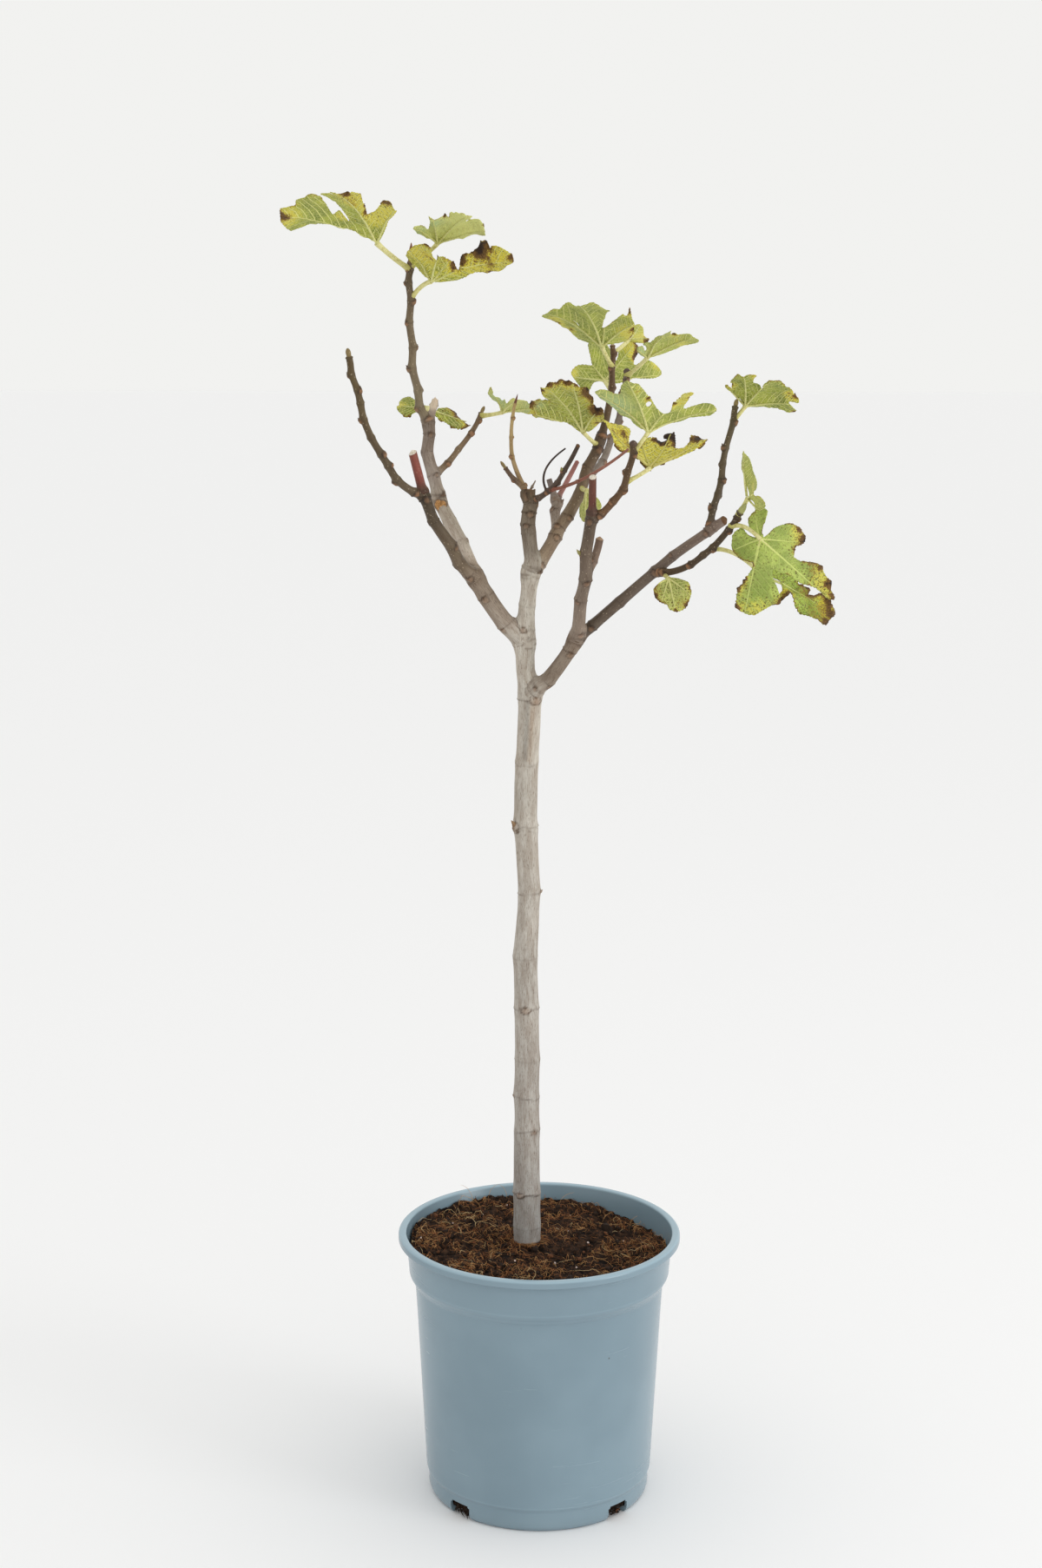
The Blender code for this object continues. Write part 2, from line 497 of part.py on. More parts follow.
for name, limb, share, stalk, bay, flaps, bow, rows in LEAVES:
    foot = bent(*LINES[limb], share)
    hub = foot + Vector(stalk) / 1000.0
    ribs = [Vector(row[:3]) / 1000.0 for row in rows]
    widths = [row[3] for row in rows]
    outline = leaf_outline(ribs, bay, flaps)

    # the blade: a fan from the hub to mid-ribs and mid-bays, bowed off the
    # ribs, and from there a strip of faces out to the finer outline
    halves = len(LOBE)
    inner = []
    for i in range(0, len(outline), halves):
        direction, radius = outline[i]
        ahead = outline[min(i + 1, len(outline) - 1)][0]
        behind = outline[max(i - 1, 0)][0]
        normal = behind.cross(ahead).normalized()
        inner.append(hub + direction * radius * 0.5 + normal * bow * radius)
    rim = [hub + direction * radius for direction, radius in outline]
    points = [hub] + inner + rim
    faces = []
    for i in range(len(inner) - 1):
        near, far = 1 + i, 2 + i
        out = 1 + len(inner) + i * halves
        faces.append((0, near, far))
        faces += [(near, out, out + 1), (near, out + 1, far),
                  (far, out + 1, out + 2), (far, out + 2, out + 3)]
    blade = bpy.data.meshes.new(name)
    blade.from_pydata(points, [], faces)
    blade.update()
    leaf = add_object(name, blade, leaf_material)
    shell = leaf.modifiers.new("thickness", "SOLIDIFY")
    shell.thickness = LEAF_THICK
    shell.offset = 0.0
    shell.use_even_offset = False

    # the stalk, from just clear of the limb to the hub
    along = (hub - foot).normalized()
    limb_radius = GIRTHS[limb][0] + (GIRTHS[limb][-1] - GIRTHS[limb][0]) * share
    knee = (hub - foot) * 0.5 + Vector((0, 0, -0.06 * (hub - foot).length))
    path = [bent(foot, knee, hub - foot, t) for t in (0.0, 0.5, 1.0)]
    tangent = (foot + knee - foot).normalized()
    limb_line = LINES[limb]
    limb_tangent = (bent(*limb_line, min(1.0, share + 0.01)) - bent(*limb_line, share - 0.01)).normalized()
    lean = max(0.35, tangent.cross(limb_tangent).length)
    clear = (limb_radius + STALK_FOOT * 0.9 + 2 * GAP) / lean
    path[0] = foot + tangent * min(clear, (hub - foot).length * 0.6)
    if (path[1] - path[0]).dot(along) < 0.002:
        del path[1]
    path[-1] = hub + (path[-1] - path[-2]).normalized() * 0.0002
    radii = [STALK_FOOT] + [STALK_TIP] * (len(path) - 1)
    cut(leaf, add_object("stalk_" + name, tube_mesh("stalk_" + name, path, radii, STALK_SIDES), cutter=True), "UNION", "MANIFOLD")
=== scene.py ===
"""Fig tree in a nursery pot: the looks, built round the CAD frame.

Lengths in the tables are millimetres in the row frame: right, back, up. The
limbs and the leaves' ribs follow the same lines as the CAD solids.
"""
import math

import bmesh
import bpy
import numpy as np
from mathutils import Matrix, Vector, geometry


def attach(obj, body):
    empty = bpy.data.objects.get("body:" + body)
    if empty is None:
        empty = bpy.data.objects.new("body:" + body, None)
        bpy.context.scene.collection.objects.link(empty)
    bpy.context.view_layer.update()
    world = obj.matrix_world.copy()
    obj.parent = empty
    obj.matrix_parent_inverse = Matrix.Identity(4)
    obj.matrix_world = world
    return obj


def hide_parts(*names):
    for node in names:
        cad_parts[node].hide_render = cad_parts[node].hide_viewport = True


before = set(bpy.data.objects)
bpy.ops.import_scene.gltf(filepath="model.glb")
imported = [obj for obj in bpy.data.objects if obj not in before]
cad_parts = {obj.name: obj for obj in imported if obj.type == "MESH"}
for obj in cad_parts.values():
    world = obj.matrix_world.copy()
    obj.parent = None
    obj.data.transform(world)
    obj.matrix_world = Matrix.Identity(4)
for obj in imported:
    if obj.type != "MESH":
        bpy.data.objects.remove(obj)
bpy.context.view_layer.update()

# ------------------------------------------------------------ the plant's plan
POT_HEIGHT, LIP_HEIGHT = 247.0, 7.0
RIM_RADIUS, RIM_BORE = 128.5, 121.2
COLLAR_TOP, COLLAR_FOOT, COLLAR_STEP_Z = 121.4, 117.8, 201.5
BODY_TOP, BODY_FOOT, FOOT_STEP_Z, FOOT_RADIUS = 113.2, 103.6, 21.5, 98.5
WALL, FLOOR_THICK = 2.0, 4.0
SLOT_WIDTH, SLOT_SEEN, SLOT_INNER = 24.0, 13.4, 88.0
SOIL_LEVEL, SOIL_HEAP, SOIL_PAD = 231.0, 4.5, 236.2

TRUNK_FOOT = (-11.0, 0.0, 236.5)
TRUNK_KNEE = (-1.0, 6.0, 478.0)
TRUNK_REACH = (0.0, -5.0, 613.0)
TRUNK_GIRTH = [(0.0, 12.1), (0.05, 12), (0.12, 11.3), (0.26, 10.9), (0.33, 10.5), (0.37, 9.8),
               (0.43, 9.8), (0.5, 10.4), (0.6, 10.1), (0.703, 10), (0.755, 8.4), (0.8, 8.4),
               (0.845, 8.2), (0.89, 7.1), (0.93, 6.8), (1.0, 6.8)]
# the stem's small kinks from node to node: share of its height, right
TRUNK_KINKS = [(0.0, 0), (0.08, -0.5), (0.115, -0.2), (0.155, -0.6), (0.193, 0.3), (0.253, -0.6),
               (0.315, -1.9), (0.398, 1.8), (0.497, -2.1), (0.59, -0.8), (0.65, 1.1), (0.703, 2),
               (0.755, -2.3), (0.8, -3.1), (0.845, -2.7), (0.89, -1.6), (0.93, -0.3), (0.97, 0.9),
               (1.0, 1)]

LIMBS = [
    # name, springs from, share, knee, reach, foot radius, tip radius
    ("bough_left", "trunk", 0.813, (-24.5, -4.2, 28), (-44, -8.4, 59.5), 8, 7.2),
    ("bough_left_front", "bough_left", 0.97, (-19, -22, 18), (-44, -35, 75), 5.9, 4.5),
    ("stub_left_front", "bough_left_front", 0.985, (-5, 1, 20), (-10, 5, 38), 3.9, 3.6),
    ("shoot_left_front", "bough_left_front", 0.980, (-42, -28, 16), (-59, -45, 116), 3.5, 2.7),
    ("bough_left_back", "bough_left", 0.970, (-19, 30, 34), (-34, 55, 64), 6.6, 5.8),
    ("bough_left_back_upper", "bough_left_back", 0.98, (-10, 6, 28), (-9, 15, 66), 5.6, 5.0),
    ("stub_left_back", "bough_left_back_upper", 0.97, (3, 2, 11), (5, 5, 22), 3.6, 2.9),
    ("shoot_left_back", "bough_left_back_upper", 0.955, (-20, 13, 40), (-15, -5, 142), 3.8, 3),
    ("twig_left_back", "bough_left_back_upper", 0.345, (26, 15, 20), (42, 30, 53), 3.0, 2.1),
    ("leader", "trunk", 0.995, (-1.3, 2, 35), (-1.6, 5, 71), 6.2, 6),
    ("twig_leader_upright", "leader", 0.930, (-23, 24, 37), (-12, 30, 77), 2.3, 1.5),
    ("twig_leader_right", "leader", 0.858, (25, -25, 10), (42, -44, 52), 2.8, 1.8),
    ("twig_leader_red", "twig_leader_right", 0.37, (29, -33, 7), (65, -57, 38), 1.5, 1.2),
    ("bough_centre", "trunk", 0.985, (38.4, 27, 54), (62, 45, 116), 6.2, 4.5),
    ("shoot_centre", "bough_centre", 0.980, (13, 16, 42), (11, 11, 82), 3.6, 2.1),
    ("bough_rear_stub", "bough_centre", 0.300, (1.5, 22, 11), (1.2, 39, 29), 3.9, 4.6),
    ("stub_rear_pink", "bough_rear_stub", 0.960, (10, 8, 17), (19.5, 15, 35), 2.3, 2),
    ("stub_rear_knob", "bough_rear_stub", 0.97, (-3, 0, 10), (-6, 0, 19), 3.0, 2.4),
    ("bough_rear", "bough_centre", 0.740, (26, 44, 8), (38, 71, 87), 3.6, 2.6),
    ("bough_right", "trunk", 0.708, (14.8, -10, 11.6), (40.4, -25, 53), 7.1, 5.8),
    ("bough_right_upright", "bough_right", 0.970, (8, -21, 50), (13, -41, 112), 5.7, 4.8),
    ("stub_right_upright", "bough_right_upright", 0.985, (0, -5, 17), (0, -10, 35), 3.4, 3.2),
    ("stub_right_side", "bough_right_upright", 0.537, (10.5, 6, 14), (12.8, 12, 33.5), 3.5, 3.4),
    ("shoot_right_upright", "bough_right_upright", 0.965, (32, -8, 20), (33, -26, 63), 3.2, 2.7),
    ("bough_right_long", "bough_right", 0.960, (74, 1, 70), (130, 1, 106), 5, 3.9),
    ("shoot_right_long", "bough_right_long", 0.870, (5, 8, 19), (24, 45, 102), 3.2, 2.6),
    ("bough_right_low", "bough_right_long", 0.495, (31, -22, -6), (67, -55, 54), 3.1, 2.6),
    # spurs too small for the CAD solids
    ("spur_leader_left", "twig_leader_upright", 0.100, (-9, 1, 8), (-15, -2, 16), 2.3, 1.9),
    ("spur_leader_horn", "leader", 0.97, (3, -3, 5), (6, -5, 11), 1.5, 0.5),
    ("spur_dry_stalk", "twig_leader_right", 0.340, (-11, -1, 18.5), (15, -6, 37), 1.15, 0.75),
]

# Each limb's looks: material slot, bark colour at foot and tip, how it ends,
# and its nodes as (share, ridge, way the scar faces (right, back) or None,
# scar size, bud length).
LIMB_LOOKS = {
    "trunk": ("bark_old", (173, 168, 162), (203, 196, 183), "dome", [
        (0.015, 0.30, None, 0, 0), (0.049, 1.15, (-0.6, -1), 7, 0), (0.115, 0.55, (0.6, -1), 5.5, 2),
        (0.152, 0.50, (-1, -0.2), 3, 3), (0.193, 0.50, None, 0, 0), (0.253, 0.65, (-0.12, -1), 8, 0),
        (0.315, 0.55, None, 0, 0), (0.398, 0.65, (1, -0.2), 4, 3.5), (0.487, 0.0, (-0.95, -0.55), 6, 5.5), (0.492, 0.7, (-0.9, -0.6), 8.5, 7.5),
        (0.590, 0.60, (0.3, 1), 5, 0), (0.700, 0.9, (0.45, -0.95), 9.5, 0), (0.845, 0.7, (-0.3, -1), 6, 0),
        (0.905, 0.5, None, 0, 0)]),
    "bough_left": ("bark_old", (176, 166, 154), (141, 125, 108), "dome", [
        (0.30, 0.5, (-0.7, -0.7), 5, 0), (0.72, 0.6, (-0.4, -1), 6, 0)]),
    "bough_left_front": ("bark_young", (123, 107, 87), (74, 61, 43), "dome", [
        (0.13, 0.5, (-0.6, -1), 6, 0), (0.30, 0.45, (-1, -0.4), 4, 0), (0.52, 0.55, (0.8, -0.8), 5, 0),
        (0.78, 0.4, (-1, -0.2), 4, 0), (0.96, 0.9, (0.2, -1), 5, 0)]),
    "stub_left_front": ("bark_red", (133, 69, 58), (140, 78, 66), "cut_white", [(0.10, 0.35, None, 0, 0)]),
    "shoot_left_front": ("bark_young", (96, 81, 62), (92, 77, 46), "bud_brown", [
        (0.10, 0.5, (-0.2, -1), 4, 0), (0.275, 0.4, (-1, -0.4), 4.5, 2), (0.41, 0.3, (1, 0), 3.5, 0),
        (0.50, 0.4, (1, -0.4), 4.5, 2), (0.61, 0.3, (-0.6, 0.8), 3.5, 0), (0.72, 0.4, (-1, -0.3), 4, 2.5),
        (0.80, 0.3, (0.4, 1), 3, 0), (0.865, 0.4, (1, -0.5), 4, 2.5), (0.935, 0.35, (-1, 0.3), 3.5, 2)]),
    "bough_left_back": ("bark_old", (214, 203, 189), (175, 164, 149), "dome", [
        (0.42, 0.4, (1, -0.5), 5, 0), (0.70, 0.4, None, 0, 0)]),
    "bough_left_back_upper": ("bark_old", (176, 164, 153), (136, 122, 110), "dome", [
        (0.10, 0.7, (0.7, -0.7), 5, 0), (0.36, 0.5, (0.7, -1), 4, 0), (0.66, 0.3, (-1, 0.3), 4, 0), (0.88, 0.6, (0.3, -1), 4, 0)]),
    "stub_left_back": ("bark_young", (162, 146, 132), (196, 180, 162), "broken", []),
    "shoot_left_back": ("bark_young", (132, 120, 96), (103, 87, 64), "bud_long", [
        (0.09, 0.5, (0.7, -0.8), 5, 0), (0.193, 0.5, (-1, -0.5), 4.5, 0), (0.33, 0.3, (0.8, 0.6), 3.5, 2),
        (0.478, 0.45, (-1, -0.2), 4.5, 3), (0.60, 0.3, (1, 0.2), 3.5, 2), (0.733, 0.4, (-0.7, -0.8), 4, 2.5),
        (0.838, 0.45, (1, -0.5), 4.5, 0), (0.92, 0.35, (-1, 0), 3.5, 0), (0.975, 0.4, (-0.8, -0.6), 3.5, 0)]),
    "twig_left_back": ("bark_young", (138, 118, 92), (110, 88, 64), "bud_brown", [
        (0.10, 0.4, None, 0, 0), (0.26, 0.4, (0.6, -0.9), 4, 2), (0.50, 0.35, (-0.8, 0.6), 3, 2),
        (0.75, 0.4, (0.6, -0.9), 4.5, 2), (0.93, 0.35, (1, -0.3), 3.5, 0)]),
    "leader": ("bark_old", (164, 156, 144), (104, 90, 73), "scarred", [
        (0.06, 0.5, (1, -0.3), 6, 0), (0.50, 0.35, None, 0, 0), (0.60, 0.55, (-0.3, -1), 5, 0),
        (0.74, 0.8, (0.2, -1), 6, 0), (0.86, 0.7, (0.9, -0.4), 5, 0), (0.95, 0.9, (-0.4, -0.9), 5, 0)]),
    "twig_leader_upright": ("bark_young", (160, 134, 100), (189, 164, 110), "bud_dark", [
        (0.12, 0.4, (1, -0.4), 3, 2), (0.448, 0.45, (-0.7, -0.7), 3.5, 1.5), (0.66, 0.25, (1, 0), 2, 0), (0.87, 0.35, (0.8, -0.6), 3.2, 0)]),
    "twig_leader_right": ("bark_young", (90, 74, 62), (80, 64, 52), "cut_dark", [
        (0.18, 0.5, (-0.3, -1), 4, 0), (0.36, 0.45, (0.2, -1), 4, 0), (0.52, 0.3, (1, 0), 3, 0),
        (0.70, 0.5, (-0.9, -0.4), 4, 4.5)]),
    "twig_leader_red": ("bark_red", (134, 80, 62), (160, 110, 94), "dome", [(0.05, 0.4, (-1, -0.6), 2.5, 0), (0.40, 0.2, (-0.4, -1), 2.4, 4)]),
    "bough_centre": ("bark_young", (170, 150, 127), (86, 68, 49), "dome", [
        (0.10, 0.6, (0.3, -1), 6, 0), (0.30, 0.6, (0.2, -1), 6, 0), (0.37, 0.7, (-0.5, -1), 6, 0), (0.45, 0.7, (0.5, -0.9), 5, 0),
        (0.62, 0.35, (0.9, -0.5), 4, 0), (0.80, 0.4, (-0.9, -0.6), 4, 0), (0.93, 0.9, (0.4, -1), 6, 0)]),
    "shoot_centre": ("bark_young", (86, 68, 43), (103, 76, 49), "bud_pale", [
        (0.08, 0.7, (0.2, -1), 5, 0), (0.44, 0.4, (0.8, -0.6), 4, 0), (0.57, 0.3, (0.9, 0.4), 3, 0), (0.78, 0.4, (-0.7, -0.7), 4, 0), (0.93, 0.4, (0.8, 0.5), 3.4, 0)]),
    "bough_rear_stub": ("bark_old", (192, 177, 163), (148, 135, 125), "scarred", [
        (0.30, 0.5, (0.3, -1), 5, 0), (0.72, 0.6, (-0.5, -1), 5, 0), (0.92, 0.7, (0.8, -0.6), 4, 3)]),
    "stub_rear_pink": ("bark_red", (170, 122, 114), (164, 108, 102), "cut_pink", [(0.15, 0.3, None, 0, 0)]),
    "stub_rear_knob": ("bark_old", (181, 166, 159), (136, 125, 121), "cut_grey", [(0.55, 0.5, None, 0, 0)]),
    "bough_rear": ("bark_young", (150, 140, 130), (112, 96, 84), "knob", [
        (0.10, 0.4, None, 0, 0), (0.30, 0.4, (1, -0.5), 4, 0), (0.557, 0.4, (-0.8, -0.8), 4, 0), (0.70, 0.3, (1, 0.4), 3.5, 0),
        (0.88, 0.6, (-0.8, -0.8), 5, 3), (0.965, 0.6, (0.6, -0.8), 4, 0)]),
    "bough_right": ("bark_old", (142, 130, 116), (138, 123, 108), "dome", [
        (0.13, 0.8, None, 0, 0), (0.19, 1.0, None, 0, 0), (0.27, 0.9, (-0.3, -1), 3.5, 0), (0.40, 0.5, (0.8, -0.6), 5, 0), (0.86, 0.6, (0.4, -1), 6, 0)]),
    "bough_right_upright": ("bark_young", (156, 141, 127), (88, 73, 58), "dome", [
        (0.10, 0.5, (0.6, -1), 5, 0), (0.36, 0.5, (-0.6, -1), 5, 0), (0.52, 0.8, (0.3, -1), 6, 0),
        (0.72, 0.5, (-1, -0.4), 4, 6), (0.96, 0.9, (-0.3, -1), 5, 0)]),
    "stub_right_upright": ("bark_red", (96, 50, 40), (108, 67, 51), "cut_white", [(0.12, 0.4, None, 0, 0)]),
    "stub_right_side": ("bark_young", (134, 116, 100), (116, 93, 79), "cut_brown", [(0.45, 0.4, (-0.6, -1), 4, 0)]),
    "shoot_right_upright": ("bark_young", (115, 84, 56), (86, 67, 42), "knob", [
        (0.12, 0.6, (0.6, -0.8), 4.5, 0), (0.33, 0.4, (-0.5, -1), 3.5, 0), (0.517, 0.5, (1, -0.5), 4.5, 0),
        (0.72, 0.35, (-1, 0), 3.5, 2), (0.93, 0.5, (0.7, -0.8), 4, 0)]),
    "bough_right_long": ("bark_young", (86, 74, 60), (136, 118, 108), "cut_dark", [
        (0.10, 0.7, (0.3, -1), 6, 0), (0.26, 0.4, (0.8, 0.3), 5, 0), (0.495, 0.7, (0.2, -1), 6, 0), (0.62, 0.35, (-0.7, -0.7), 4, 0),
        (0.85, 0.8, (0.1, -1), 5, 0), (0.90, 0.4, None, 0, 0)]),
    "shoot_right_long": ("bark_young", (86, 73, 55), (92, 80, 53), "bud_brown", [
        (0.12, 0.5, (-0.6, -0.8), 4, 0), (0.323, 0.5, (-1, -0.4), 4.5, 3), (0.45, 0.3, (0.7, 0.7), 3.5, 0),
        (0.568, 0.55, (1, -0.3), 5, 0), (0.68, 0.3, (-0.6, 0.8), 3.5, 0), (0.78, 0.5, (-1, -0.4), 4.5, 3), (0.93, 0.4, (1, -0.4), 4, 0)]),
    "bough_right_low": ("bark_young", (90, 72, 52), (77, 62, 40), "bud_green", [
        (0.10, 0.7, (0.1, -1), 6, 0), (0.155, 0.6, (-0.7, -0.6), 5, 3), (0.458, 0.6, (0.1, -1), 5, 0), (0.60, 0.3, (0, 1), 3, 0),
        (0.70, 0.5, (0.8, -0.6), 4.5, 0), (0.88, 0.5, (0.8, -0.6), 5, 0), (0.97, 0.6, (1, -0.2), 4, 0)]),
    "spur_leader_left": ("bark_young", (124, 104, 84), (96, 76, 58), "bud_brown", [(0.45, 0.4, (-1, -0.4), 2.6, 0)]),
    "spur_leader_horn": ("bark_young", (150, 136, 122), (140, 124, 106), "dome", []),
    "spur_dry_stalk": ("bark_young", (66, 50, 42), (58, 44, 38), "dome", []),
}

